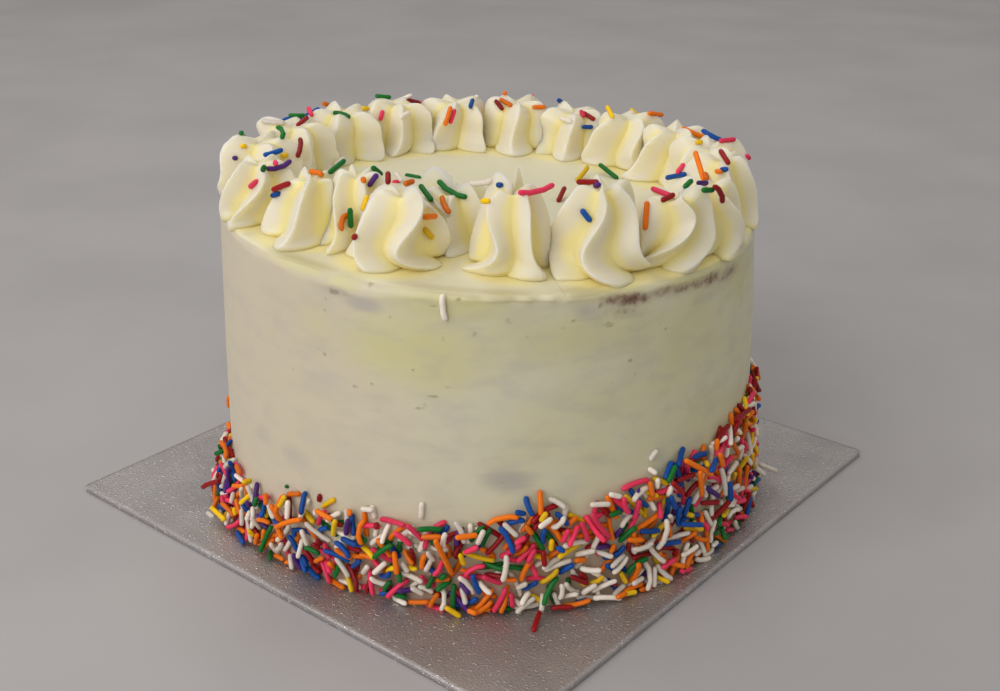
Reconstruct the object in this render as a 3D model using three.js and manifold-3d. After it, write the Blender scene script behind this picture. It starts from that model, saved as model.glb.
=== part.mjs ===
// An iced layer cake on a square cake card. The cake is one solid of scraped buttercream over sponge,
// a little wider at its foot and lower on its right, with a ring of piped swirls on its rim and
// sugar sprinkles pressed into its foot. Sprinkles are fused to what they lie on.
import * as THREE from 'three';
import { mergeVertices } from 'three/addons/utils/BufferGeometryUtils.js';
import Module from 'manifold-3d';

const wasm = await Module();
wasm.setup();

// Driving dimensions. Lengths are in millimetres, angles in degrees. Angles round the cake are
// measured from its right-hand side, as it stands with its front towards -Y, so -90 is the front.
const CARD = { side: 203.2, thick: 2.3, corner: 1.5 };
const CAKE = { topRadius: 89.8, baseRadius: 93, height: 102, lean: 0.042, shoulder: 2 };
const CAKE_PLACE = { x: 0.4, y: 4.2, turn: 39.9 };
const REST_GAP = 0.3;
const BAND = { low: 25, rise: 20, riseAt: -18, riseWidth: 36, bulge: 1.5 };
const SPRINKLE = { radius: 0.88, length: 7.4, spread: 1.6, bend: 0.9, sides: 4, proud: 0.3 };
const WALL_SPRINKLES = 84;
const TALL_SWIRL = 20.5;
const FINEST = 0.04;
const RIM_LIMIT = 91.5;
const SIDE_CLEARANCE = 0.25;
const PLAIN_FINS = 5;
const GROOVE_AT = 0.56;
const WIDENING = 0.2;
const FULLNESS = 0.34;
// How much rounder than a plain one a fin is, where the photo shows it and where it doesn't.
const ROUNDNESS = { seen: -0.25, unseen: 0.2 };

// One row for each piped swirl, anticlockwise from the left: its angle round the cake, its distance
// from the cake's axis, its radius, its height, how far its top leans outwards and anticlockwise and,
// where the photo shows them, its fins. A fin's edge runs through four angles, from its crown down to
// its foot, measured from the way outwards. Its foot reaches that many times as far as a plain one,
// and its crown rises by a part of the height.
const SWIRLS = [
  { at: -158, ring: 78, radius: 13, height: 19, fins: [
    [-65, -68, -72, -80], [22, 10, -5, -12], [88, 74, 50, 33, 1.12], [150, 140, 128, 112],
    [218, 208, 196, 190],
  ] },
  { at: -141.2, ring: 70.3, radius: 13.9, height: 20, lean: [1, 2.4], fins: [
    [-34, -54, -44, -45, 1, -0.12], [56, 44, 39, 27, 1.2, 0.07], [126, 118, 130, 138, 1, -0.06],
    [184, 182, 182, 184], [250, 246, 244, 240],
  ] },
  { at: -129.5, ring: 62.5, radius: 12.4, height: 22, fins: [
    [-62, -60, -50, -30, 1.05], [-4, 8, 18, 12, 1.15], [62, 64, 66, 60, 1.1], [120, 122, 124, 128],
    [178, 180, 182, 184], [238, 236, 240, 250],
  ] },
  { at: -113.6, ring: 68.6, radius: 14.3, height: 22.2, lean: [1.5, 3.6], fins: [
    [-112, -104, -100, -90], [-49, -33, -26, -6], [64, 45, 26, 68, 0.9, 0.1],
    [118, 130, 125, 142, 1, -0.25], [195, 190, 190, 195],
  ] },
  { at: -102, ring: 48, radius: 13.4, height: 17, lean: [0, -1], fins: [
    [-86, -80, -70, -60, 1.1], [8, 5, 4, 0, 1.13, -0.05], [66, 70, 80, 90, 1, 0.15],
    [125, 130, 135, 140, 1, 0.1], [184, 184, 188, 192], [250, 242, 234, 228, 1.1, 0.34],
  ] },
  { at: -84, ring: 68.4, radius: 11.5, height: 25.1, lean: [-0.2, -0.3], fins: [
    [-66, -46, -26, -79, 1, -0.04], [40, 26, 24, 40, 1.07, -0.04], [105, 98, 95, 100],
    [160, 155, 155, 160, 1, 0.16], [222, 225, 230, 230, 1, 0.1],
  ] },
  { at: -63.3, ring: 73.3, radius: 14, height: 26.5, lean: [0.3, 0.2], fins: [
    [-100, -109, -121, -89, 1.12, -0.03], [-34, -37, -51, -13, 1.15, 0.03],
    [17, 29, 25, 73, 1.05, 0.04], [92, 94, 98, 125], [170, 168, 165, 180],
  ] },
  { at: -45.4, ring: 75.7, radius: 14, height: 21.6, lean: [4.2, 0], fins: [
    [-129, -98, -89, -81, 1.03, -0.07], [-35, -17, -57, -98, 1.14, 0.02],
    [45, 46, 24, -16, 0.98, 0.11], [118, 112, 100, 80], [185, 180, 175, 165],
  ] },
  { at: -31.5, ring: 78.9, radius: 13.7, height: 21.3, lean: [0.4, 0], fins: [
    [-100, -84, -80, -90], [-38, -1, 13, -12, 1.16, -0.02], [50, 58, 60, 55],
    [118, 122, 125, 122], [190, 195, 200, 198],
  ] },
  { at: -10, ring: 77, radius: 13.6, height: 22, fins: [
    [-78, -68, -60, -72, 1.1], [-15, -5, 2, -15, 1.1], [50, 58, 62, 50], [118, 122, 125, 120],
    [190, 195, 200, 198],
  ] },
  { at: 8, ring: 76, radius: 14.8, height: 19.5 },
  { at: 27, ring: 74.5, radius: 15.2, height: 18.5 },
  { at: 46, ring: 73, radius: 15.4, height: 18 },
  { at: 64, ring: 72, radius: 15.6, height: 16.5 },
  { at: 82, ring: 71.5, radius: 15.6, height: 17.5 },
  { at: 101, ring: 71.5, radius: 15.6, height: 17 },
  { at: 120, ring: 72, radius: 15.6, height: 17.5 },
  { at: 139, ring: 72.5, radius: 15.4, height: 17 },
  { at: 159, ring: 75, radius: 15, height: 17 },
  { at: 180, ring: 77, radius: 14.6, height: 18 },
];

// Loose sprinkles on the card: the angle and distance of each one's middle from the cake's axis,
// the way it points, and its length.
const LOOSE_SPRINKLES = [
  { at: -81, from: 102.4, heading: -100, length: 10 },
  { at: -63, from: 103, heading: -24, length: 7 },
  { at: -100, from: 101.5, heading: -40, length: 7 },
  { at: -4, from: 103.5, heading: -30, length: 8 },
  { at: -160, from: 104, heading: -43, length: 7 },
];

// Outlines of a swirl: radius and height along a ridge and along a groove, from the foot to the
// middle of the top, as parts of the swirl's own radius and height.
const RIDGE_PATH = [
  [0.5, 0], [0.98, 0], [1.11, 0.02], [1.15, 0.09], [1.11, 0.24], [1.02, 0.42],
  [0.9, 0.6], [0.76, 0.77], [0.6, 0.91], [0.43, 1], [0.22, 0.97], [0, 0.88],
];
const GROOVE_PATH = [
  [0.3, 0], [0.5, 0], [0.62, 0.03], [0.65, 0.08], [0.63, 0.21], [0.59, 0.37],
  [0.53, 0.53], [0.46, 0.68], [0.37, 0.81], [0.27, 0.9], [0.13, 0.9], [0, 0.88],
];
const SWIRL_STEPS = [1, 2.5, 3.9, 5.5, 7.1, 8.5, 9.6];
// The levels that a fin's four angles are given at, and the places between two fins' edges, as parts
// of the way from one to the next, that the solid has points at.
const FIN_LEVELS = [0.93, 0.6, 0.32, 0.04];
const FIN_PARTS = [0, 0.26, GROOVE_AT, 0.8];

const radians = THREE.MathUtils.degToRad;

// A repeatable number from 0 to 1 for piece `i` and purpose `k`.
function chance(i, k) {
  const value = Math.sin(i * 12.9898 + k * 78.233) * 43758.5453;
  return value - Math.floor(value);
}

// A wave of `turns` crests round the circle, with its phase drawn for piece `i` and purpose `k`.
function wave(angle, turns, i, k) {
  return Math.sin(turns * angle + 2 * Math.PI * chance(i, k));
}

// A smooth curve through all the points of `path`, read at `step`, counted in points.
function along(path, step) {
  const last = path.length - 1;
  const i = Math.min(Math.floor(step), last - 1);
  const f = step - i;
  const point = (k) => path[Math.min(Math.max(i + k, 0), last)];
  return [0, 1].map((axis) => {
    const [a, b, c, d] = [-1, 0, 1, 2].map((k) => point(k)[axis]);
    const bend = (2 * a - 5 * b + 4 * c - d) * f * f + (3 * b - a - 3 * c + d) * f ** 3;
    return 0.5 * (2 * b + (c - a) * f + bend);
  });
}

// Presses `value` smoothly inside the limit, so that it never passes it.
function pressed(value, limit, softness) {
  const share = value / limit;
  return value / (1 + Math.abs(share) ** softness) ** (1 / softness);
}

// A closed solid from rings of points, bottom ring first, with a middle point under the first ring
// and another over the last.
function ringSolid(rings, bottom, top) {
  const count = rings[0].length;
  const vertices = [...rings.flat(), bottom, top];
  const triangles = [];
  for (let j = 0; j < count; j += 1) {
    const next = (j + 1) % count;
    triangles.push(vertices.length - 2, next, j);
    for (let i = 0; i < rings.length - 1; i += 1) {
      const low = i * count;
      const high = low + count;
      triangles.push(low + j, low + next, high + next);
      triangles.push(low + j, high + next, high + j);
    }
    const rim = (rings.length - 1) * count;
    triangles.push(rim + j, rim + next, vertices.length - 1);
  }
  const geometry = new THREE.BufferGeometry();
  geometry.setAttribute('position', new THREE.Float32BufferAttribute(vertices.flat(), 3));
  geometry.setIndex(triangles);
  return geometry;
}

function solidOf(geometry) {
  const bare = geometry.clone();
  bare.deleteAttribute('normal');
  bare.deleteAttribute('uv');
  const merged = mergeVertices(bare, 1e-4);
  return new wasm.Manifold(new wasm.Mesh({
    numProp: 3,
    vertProperties: merged.attributes.position.array,
    triVerts: new Uint32Array(merged.index.array),
  }));
}

function geometryOf(solid) {
  const mesh = solid.getMesh();
  const geometry = new THREE.BufferGeometry();
  geometry.setAttribute('position', new THREE.BufferAttribute(mesh.vertProperties, 3));
  geometry.setIndex(new THREE.BufferAttribute(mesh.triVerts, 1));
  return geometry;
}

// Joins the sprinkles to the body they lie on, and merges what is finer than a hair.
function fused(body, sprinkles) {
  const joined = sprinkles.reduce((sum, piece) => sum.add(solidOf(piece)), solidOf(body));
  return geometryOf(joined.simplify(FINEST));
}

// A short rod with pointed ends, bent a little at its middle, along X about the origin.
function sprinkleGeometry(length, bend) {
  const { radius, sides } = SPRINKLE;
  const ring = (x, y) => Array.from({ length: sides }, (_, j) => {
    const angle = (2 * Math.PI * j) / sides;
    return [x, y + radius * Math.cos(angle), radius * Math.sin(angle)];
  });
  const shoulder = length / 2 - 0.6 * radius;
  const rings = [ring(-shoulder, 0), ring(0, bend), ring(shoulder, 0)];
  return ringSolid(rings, [-length / 2, 0, 0], [length / 2, 0, 0]);
}

// A sprinkle with its middle at `place`, lying flat against a surface whose normal is `out`, turned
// by `heading` from the level direction of that surface.
function sprinkleOn(place, out, heading, length, bend) {
  const level = new THREE.Vector3(-out.y, out.x, 0);
  if (level.lengthSq() < 1e-6) {
    level.set(1, 0, 0);
  }
  level.normalize();
  const rise = new THREE.Vector3().crossVectors(out, level);
  const direction = level.clone().multiplyScalar(Math.cos(heading));
  direction.addScaledVector(rise, Math.sin(heading));
  const side = new THREE.Vector3().crossVectors(out, direction);
  const placed = new THREE.Matrix4().makeBasis(direction, side, out).setPosition(place);
  return sprinkleGeometry(length, bend).applyMatrix4(placed);
}

// How high the band of sprinkles climbs the wall at an angle round the cake.
function bandTop(angle) {
  const off = THREE.MathUtils.euclideanModulo(angle - radians(BAND.riseAt) + Math.PI, 2 * Math.PI);
  const share = (off - Math.PI) / radians(BAND.riseWidth);
  return BAND.low + BAND.rise * Math.exp(-share * share) + 2 * wave(angle, 5, 3, 1);
}

// The cake's radius at a height: its taper, the slight unevenness that the scraper left, and the
// bulge of the crowded band at its foot.
function wallRadius(angle, z) {
  const taper = THREE.MathUtils.lerp(CAKE.baseRadius, CAKE.topRadius, z / CAKE.height);
  const scraped = 0.3 * Math.sin(2 * angle + 1.1 + z / 30) + 0.2 * Math.sin(5 * angle + 0.7 - z / 18);
  const band = BAND.bulge * Math.exp(-((z / (0.6 * bandTop(angle))) ** 2));
  return taper + scraped + band;
}

// The lean lowers each point in proportion to its height and its place to the right.
function leaning(x, y, z) {
  return [x, y, z - CAKE.lean * x * (z / CAKE.height)];
}

function cakeGeometry() {
  const around = 72;
  const angles = Array.from({ length: around }, (_, j) => (2 * Math.PI * j) / around);
  const wallHeights = [0, 5, 14, 30, 52, 76, 94];
  const wallRing = (z) => angles.map((a) => {
    const r = wallRadius(a, z);
    return leaning(r * Math.cos(a), r * Math.sin(a), z);
  });
  // The shoulder is a quarter round, flat from its inner end.
  const shoulderRing = (turn) => angles.map((a) => {
    const z = CAKE.height - CAKE.shoulder * (1 - Math.sin(radians(turn)));
    const r = wallRadius(a, z) - CAKE.shoulder * (1 - Math.cos(radians(turn)));
    return leaning(r * Math.cos(a), r * Math.sin(a), z);
  });
  const rings = [...wallHeights.map(wallRing), ...[0, 35, 65, 90].map(shoulderRing)];
  return ringSolid(rings, [0, 0, 0], [0, 0, CAKE.height]);
}

// A sprinkle stuck to the cake's wall at an angle and a height.
function sprinkleOnWall(angle, z, heading, length, bend) {
  const r = wallRadius(angle, z) + SPRINKLE.proud * SPRINKLE.radius;
  const out = new THREE.Vector3(Math.cos(angle), Math.sin(angle), 0);
  const place = new THREE.Vector3(...leaning(r * Math.cos(angle), r * Math.sin(angle), z));
  return sprinkleOn(place, out, heading, length, bend);
}

// Sprinkles pressed into the foot of the wall, spread by the golden angle and thinning upwards, and
// the one that stuck high on its front.
function wallSprinkles() {
  const golden = radians(137.508);
  const band = Array.from({ length: WALL_SPRINKLES }, (_, i) => {
    const angle = i * golden;
    const share = (i + 0.5) / WALL_SPRINKLES;
    const heading = Math.PI * chance(i, 21);
    const length = SPRINKLE.length + SPRINKLE.spread * (2 * chance(i, 22) - 1);
    const lowest = SPRINKLE.radius + 0.5 * length * Math.abs(Math.sin(heading));
    const z = lowest + (bandTop(angle) - lowest) * share ** 1.5;
    return sprinkleOnWall(angle, z, heading, length, SPRINKLE.bend * (2 * chance(i, 23) - 1));
  });
  return [...band, sprinkleOnWall(radians(-97.3), 93, radians(84), 9, 0.6)];
}

// The place of a swirl's own axis on the plane of the ring.
function axisOf({ at, ring }) {
  return new THREE.Vector2(ring * Math.cos(radians(at)), ring * Math.sin(radians(at)));
}

// Evenly spaced fins that waver and curl a little, for a swirl whose own aren't seen.
function plainFins(seed) {
  return Array.from({ length: PLAIN_FINS }, (_, j) => {
    const middle = (360 * (chance(seed, 49) + j)) / PLAIN_FINS + 20 * (chance(seed, 50 + j) - 0.5);
    const lean = 24 * chance(seed, 60 + j) - 4;
    const curl = 50 * (chance(seed, 70 + j) - 0.5);
    const reach = 1 + 0.12 * chance(seed, 80 + j);
    const rise = 0.12 * (chance(seed, 90 + j) - 0.5);
    return [middle + lean, middle, middle - 0.6 * lean, middle - 0.6 * lean + curl, reach, rise];
  });
}

// How far a swirl's middle is off its axis at a level, because its top leans.
function leanAt(index, level) {
  const [outwards, sideways] = SWIRLS[index].lean ?? [0, 0];
  const out = axisOf(SWIRLS[index]).normalize();
  return new THREE.Vector2(
    outwards * out.x - sideways * out.y,
    outwards * out.y + sideways * out.x,
  ).multiplyScalar(level);
}

function finsOf(index) {
  return SWIRLS[index].fins ?? plainFins(index + 1);
}

// The angle of a fin's edge at a level: the cubic through its four angles.
function edgeAngle(fin, level) {
  const at = THREE.MathUtils.clamp(level, 0.02, 0.97);
  return FIN_LEVELS.reduce((sum, knot, k) => {
    const others = FIN_LEVELS.filter((other) => other !== knot);
    return sum + fin[k] * others.reduce((share, other) => share * ((at - other) / (knot - other)), 1);
  }, 0);
}

// Presses a place on the ring's plane, from the swirl's own axis, smoothly inside the rim and
// against the neighbours that stand close.
function squeezed(index, spot) {
  const swirl = SWIRLS[index];
  const axis = axisOf(swirl);
  const walls = [[axis.clone().normalize(), RIM_LIMIT - swirl.ring]];
  SWIRLS.forEach((neighbour, other) => {
    const way = axisOf(neighbour).sub(axis);
    const apart = way.length();
    const sizes = swirl.radius + neighbour.radius;
    if (other !== index && apart < 1.25 * sizes) {
      walls.push([way.normalize(), (apart * swirl.radius) / sizes - SIDE_CLEARANCE]);
    }
  });
  return walls.reduce((place, [way, limit]) => {
    const reached = place.dot(way);
    const held = reached > 0 ? pressed(reached, limit, 6) : reached;
    return place.addScaledVector(way, held - reached);
  }, spot.clone());
}

// A point of a swirl's surface, from its own axis and foot. `part` is the share of the way from the
// edge of the given fin to the next one, and `step` the place along the outline. Ridges are crisp
// high up and round at the foot.
function swirlPoint(index, fin, part, step) {
  const swirl = SWIRLS[index];
  const seed = index + 1;
  const fins = finsOf(index);
  const after = (fin + 1) % fins.length;
  const off = part < GROOVE_AT ? part / GROOVE_AT : (1 - part) / (1 - GROOVE_AT);
  const [ridgeR, ridgeZ] = along(RIDGE_PATH, step);
  const [grooveR, grooveZ] = along(GROOVE_PATH, step);
  const sharp = 0.6 * (1 - off) ** 3 + 0.4 * (1 - off);
  const roundness = swirl.fins ? ROUNDNESS.seen : ROUNDNESS.unseen;
  const crisp = THREE.MathUtils.lerp(sharp, 1 - off ** 1.25, roundness);
  const lobed = Math.exp(-((ridgeZ / 0.13) ** 2));
  const ridge = THREE.MathUtils.lerp(crisp, 1 - off ** 1.4, lobed);
  const level = THREE.MathUtils.lerp(grooveZ, ridgeZ, ridge);
  const blend = (of) => THREE.MathUtils.lerp(of(fin), of(after), part);
  const turned = after < fin ? 360 : 0;
  const angle = THREE.MathUtils.lerp(
    edgeAngle(fins[fin], ridgeZ),
    edgeAngle(fins[after], ridgeZ) + turned,
    part,
  );
  const foot = Math.exp(-((level / 0.16) ** 2));
  const reach = (blend((k) => fins[k][4] ?? 1) - 1) * foot * ridge;
  const waver = blend((k) => 0.12 * (chance(seed, 30 + k) - 0.5)) * (1 - foot);
  const behind = Math.abs(THREE.MathUtils.euclideanModulo(angle + 180, 360) - 180);
  const wide = swirl.fins
    ? WIDENING * THREE.MathUtils.smoothstep(behind, 60, 105)
    : FULLNESS * THREE.MathUtils.smoothstep(level, 0.35, 0.95);
  const q = THREE.MathUtils.lerp(grooveR, ridgeR, ridge) * (1 + reach + waver + wide);
  const way = radians(angle + swirl.at);
  const spot = new THREE.Vector2(Math.cos(way), Math.sin(way)).multiplyScalar(swirl.radius * q);
  const { x, y } = squeezed(index, spot.add(leanAt(index, level)));
  const rise = blend((k) => fins[k][5] ?? 0) * THREE.MathUtils.smoothstep(level, 0.3, 1) * ridge;
  return [x, y, (level + rise) * swirl.height];
}

function swirlGeometry(index) {
  const rings = SWIRL_STEPS.map((step) => finsOf(index).flatMap((_, fin) => (
    FIN_PARTS.map((part) => swirlPoint(index, fin, part, step))
  )));
  const top = 0.88 * SWIRLS[index].height;
  return ringSolid(rings, [0, 0, 0], [0, 0, top]);
}

// Sprinkles that fell on a swirl's upper half, each lying across its ridges: two on a tall swirl and
// one on a low one.
function swirlSprinkles(index) {
  const count = SWIRLS[index].height > TALL_SWIRL ? 2 : 1;
  return Array.from({ length: count }, (_, i) => {
    const seed = 40 * (index + 1) + i;
    const fin = Math.floor(finsOf(index).length * (i / count + 0.3 * chance(seed, 31)));
    const step = 7 + 1.6 * chance(seed, 32);
    const [x, y, z] = swirlPoint(index, fin, 0, step);
    const middle = leanAt(index, 1);
    const [dx, dy] = [x - middle.x, y - middle.y];
    const place = new THREE.Vector3(middle.x + 0.8 * dx, middle.y + 0.8 * dy, z);
    const out = new THREE.Vector3(dx, dy, 9).normalize();
    const heading = Math.PI * chance(seed, 33);
    return sprinkleOn(place, out, heading, SPRINKLE.length - 0.6, SPRINKLE.bend * chance(seed, 34));
  });
}

function cardGeometry() {
  const half = CARD.side / 2;
  const corner = CARD.corner;
  const outline = new THREE.Shape();
  [0, 1, 2, 3].forEach((quarter) => {
    const angle = (quarter * Math.PI) / 2;
    const [sx, sy] = [[1, 1], [-1, 1], [-1, -1], [1, -1]][quarter];
    const [x, y] = [sx * (half - corner), sy * (half - corner)];
    outline.absarc(x, y, corner, angle, angle + Math.PI / 2, false);
  });
  outline.closePath();
  return new THREE.ExtrudeGeometry(outline, {
    depth: CARD.thick, bevelEnabled: false, curveSegments: 3,
  });
}

// The loose sprinkles lie on the card, sunk by a trace of icing.
function looseSprinkles() {
  return LOOSE_SPRINKLES.map(({ at, from, heading, length }) => {
    const turned = radians(at + CAKE_PLACE.turn);
    const place = new THREE.Vector3(
      CAKE_PLACE.x + from * Math.cos(turned),
      CAKE_PLACE.y + from * Math.sin(turned),
      CARD.thick + 0.7 * SPRINKLE.radius,
    );
    const out = new THREE.Vector3(0, 0, 1);
    return sprinkleOn(place, out, radians(heading + CAKE_PLACE.turn), length, 0.5);
  });
}

const foil = { color: 0x9a9796, roughness: 0.32, metalness: 0.9 };
const icing = { color: 0xd9d0ac, roughness: 0.55, metalness: 0 };
const cream = { color: 0xefe6c2, roughness: 0.45, metalness: 0 };

function piece(name, geometry, finish) {
  const mesh = new THREE.Mesh(geometry, new THREE.MeshStandardMaterial(finish));
  mesh.name = name;
  return mesh;
}

function swirlPiece(index) {
  const geometry = fused(swirlGeometry(index), swirlSprinkles(index));
  const mesh = piece(`swirl_${String(index + 1).padStart(2, '0')}`, geometry, cream);
  const { x, y } = axisOf(SWIRLS[index]);
  mesh.position.set(x, y, 0);
  return mesh;
}

const swirlRing = new THREE.Group();
SWIRLS.forEach((_, index) => swirlRing.add(swirlPiece(index)));
swirlRing.position.z = CAKE.height + REST_GAP;
swirlRing.rotation.y = Math.atan(CAKE.lean);

const cake = new THREE.Group();
cake.add(piece('iced_cake', fused(cakeGeometry(), wallSprinkles()), icing));
cake.add(swirlRing);
cake.position.set(CAKE_PLACE.x, CAKE_PLACE.y, CARD.thick + REST_GAP);
cake.rotation.z = radians(CAKE_PLACE.turn);

const cakeOnCard = new THREE.Group();
cakeOnCard.add(piece('cake_card', fused(cardGeometry(), looseSprinkles()), foil));
cakeOnCard.add(cake);

export default cakeOnCard;
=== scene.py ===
"""An iced layer cake on a square foil card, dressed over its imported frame.

The cake has its own frame, in millimetres: the origin is on its axis at its foot, +X is its
right-hand side, +Y its back and +Z up. Angles round it run anticlockwise from +X, so its front,
which faces the camera, is at -90 degrees. CakeFrame turns that frame into the row frame, in metres.
"""

import logging
import math
from dataclasses import dataclass, field
from enum import Enum

import bpy
import numpy as np
from mathutils import Euler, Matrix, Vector
from mathutils.bvhtree import BVHTree


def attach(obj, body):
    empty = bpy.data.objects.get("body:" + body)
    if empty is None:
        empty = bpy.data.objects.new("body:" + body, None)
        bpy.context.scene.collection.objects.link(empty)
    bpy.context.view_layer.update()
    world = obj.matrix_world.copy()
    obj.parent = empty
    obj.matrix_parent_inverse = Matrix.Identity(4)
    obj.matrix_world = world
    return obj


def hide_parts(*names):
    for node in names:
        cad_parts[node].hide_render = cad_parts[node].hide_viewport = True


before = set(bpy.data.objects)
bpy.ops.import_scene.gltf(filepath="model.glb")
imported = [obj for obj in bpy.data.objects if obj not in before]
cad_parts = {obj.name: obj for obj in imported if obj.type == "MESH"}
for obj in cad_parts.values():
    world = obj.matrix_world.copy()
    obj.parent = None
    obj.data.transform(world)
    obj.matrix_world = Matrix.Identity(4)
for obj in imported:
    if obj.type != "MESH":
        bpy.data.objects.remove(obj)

MM = 0.001
ROOT = "root"
Colour3 = tuple[float, float, float]
Point3 = tuple[float, float, float]
Skin = tuple[np.ndarray, np.ndarray, np.ndarray]
Place = tuple[float, float, float, float, float]
Pair = tuple[float, float]
SeenRod = tuple["Sugar", float, float, float, float, float]
# The fraction of the golden ratio: its multiples, less their whole parts, lie evenly from 0 to 1.
GOLDEN = 0.6180339887
log = logging.getLogger("cake")


# Shapes as functions


def chance(i: float, k: float) -> float:
    """Returns a repeatable number from 0 to 1 for piece `i` and purpose `k`."""
    value = math.sin(i * 12.9898 + k * 78.233) * 43758.5453
    return value - math.floor(value)


def smooth(value: np.ndarray, low: float, high: float) -> np.ndarray:
    """Returns 0 below `low`, 1 above `high`, and the smooth cubic step between them."""
    share = np.clip((value - low) / (high - low), 0.0, 1.0)
    return share * share * (3.0 - 2.0 * share)


def pressed(value: np.ndarray, limit: np.ndarray | float, softness: float) -> np.ndarray:
    """Returns `value` pressed smoothly inside the limit, so that it never passes it."""
    return value / (1.0 + np.abs(value / limit) ** softness) ** (1.0 / softness)


def spline(path: np.ndarray, step: np.ndarray) -> np.ndarray:
    """Reads a smooth curve through all the points of a path.

    Args:
        path: The points, one row each.
        step: Where to read the curve, counted in points from the first.

    Returns:
        One row for each step, by the cubic through the two points round it whose slope at a point
        is half the way between that point's neighbours.
    """
    last = len(path) - 1
    i = np.minimum(np.floor(step).astype(int), last - 1)
    f = (step - i)[:, None]
    a, b, c, d = (path[np.clip(i + k, 0, last)] for k in (-1, 0, 1, 2))
    bend = (2 * a - 5 * b + 4 * c - d) * f**2 + (3 * b - a - 3 * c + d) * f**3
    return 0.5 * (2 * b + (c - a) * f + bend)


def unevenness(x: np.ndarray, y: np.ndarray, seed: float, around: int = 0) -> np.ndarray:
    """Works out smooth lattice noise from -1 to 1.

    Args:
        x: First coordinate, in lattice cells.
        y: Second coordinate, in lattice cells.
        seed: Picks another noise.
        around: How many cells make a full turn along x, or 0 where x doesn't close on itself.

    Returns:
        At each point, the smooth blend of the hashed values at its cell's four corners.
    """
    x, y = np.broadcast_arrays(x, y)
    column, row = np.floor(x), np.floor(y)
    fx, fy = x - column, y - row
    wx, wy = fx * fx * (3 - 2 * fx), fy * fy * (3 - 2 * fy)

    def corner(a: int, b: int) -> np.ndarray:
        """Hashes one corner of each cell.

        Args:
            a: How many cells further along x the corner lies, 0 or 1.
            b: How many cells further along y.

        Returns:
            The value there, from -1 to 1.
        """
        i = np.mod(column + a, around) if around else column + a
        value = np.sin(i * 127.1 + (row + b) * 311.7 + seed * 74.7) * 43758.5453
        return 2.0 * (value - np.floor(value)) - 1.0

    low = corner(0, 0) * (1 - wx) + corner(1, 0) * wx
    high = corner(0, 1) * (1 - wx) + corner(1, 1) * wx
    return low * (1 - wy) + high * wy


def noise_round(angle: np.ndarray, cells: int, seed: float) -> np.ndarray:
    """Returns lattice noise that closes on itself after so many cells round the cake."""
    turn = angle / (2 * math.pi)
    return unevenness(turn * cells, 0 * turn, seed, cells)


def closed_rings(rings: np.ndarray) -> Skin:
    """Joins rings of points into a closed skin, with a fan over the first ring and the last.

    Args:
        rings: Points by ring, place on the ring and axis; each ring runs anticlockwise seen from
            beyond the last ring, and the first ring is the lowest.

    Returns:
        The points, the four-sided faces between rings and the triangles of the two fans.
    """
    rows, columns = rings.shape[:2]
    poles = np.stack([rings[0].mean(axis=0), rings[-1].mean(axis=0)])
    points = np.concatenate([rings.reshape(-1, 3), poles])
    index = np.arange(rows * columns).reshape(rows, columns)
    following = np.roll(index, -1, axis=1)
    sides = np.stack([index[:-1], following[:-1], following[1:], index[1:]], axis=-1)
    bottom = np.full(columns, rows * columns)
    fans = np.concatenate([
        np.stack([bottom, following[0], index[0]], axis=-1),
        np.stack([index[-1], following[-1], bottom + 1], axis=-1),
    ])
    return points, sides.reshape(-1, 4), fans


@dataclass(frozen=True)
class CakeFrame:
    """Where the cake stands on its card, in millimetres and degrees of the row frame."""

    x: float = 0.4
    y: float = 4.2
    z: float = 2.6
    turn: float = 39.9

    def to_row(self, points: np.ndarray) -> np.ndarray:
        """Turns points of the cake's frame into the row frame.

        Args:
            points: Points in millimetres, in the cake's own directions.

        Returns:
            The points in metres, turned about the cake's axis and moved to its place.
        """
        cos, sin = math.cos(math.radians(self.turn)), math.sin(math.radians(self.turn))
        turned = np.array([[cos, sin, 0.0], [-sin, cos, 0.0], [0.0, 0.0, 1.0]])
        return (points @ turned + np.array([self.x, self.y, self.z])) * MM


CAKE_FRAME = CakeFrame()


# Materials


class Wire:
    """A value in a node tree, on which arithmetic adds Math nodes."""

    def __init__(self, nodes: "Nodes", socket: bpy.types.NodeSocket) -> None:
        """Keeps the tree and the socket that gives the value."""
        self.nodes = nodes
        self.socket = socket

    def _math(self, operation: str, *values: "Wire | float") -> "Wire":
        """Adds a Math node on the values, in order."""
        return self.nodes.add("ShaderNodeMath", {"operation": operation}, dict(enumerate(values)))

    def __add__(self, other: "Wire | float") -> "Wire":
        """Returns the sum."""
        return self._math("ADD", self, other)

    def __radd__(self, other: float) -> "Wire":
        """Returns the sum, reflected."""
        return self._math("ADD", other, self)

    def __sub__(self, other: "Wire | float") -> "Wire":
        """Returns the difference."""
        return self._math("SUBTRACT", self, other)

    def __rsub__(self, other: float) -> "Wire":
        """Returns the difference, reflected."""
        return self._math("SUBTRACT", other, self)

    def __mul__(self, other: "Wire | float") -> "Wire":
        """Returns the product."""
        return self._math("MULTIPLY", self, other)

    def __rmul__(self, other: float) -> "Wire":
        """Returns the product, reflected."""
        return self._math("MULTIPLY", other, self)

    def step(self, low: float, high: float) -> "Wire":
        """Returns 0 below `low`, 1 above `high` and a smooth rise between them."""
        return self.nodes.add(
            "ShaderNodeMapRange",
            {"interpolation_type": "SMOOTHSTEP"},
            {"Value": self, "From Min": low, "From Max": high},
        )


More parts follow.
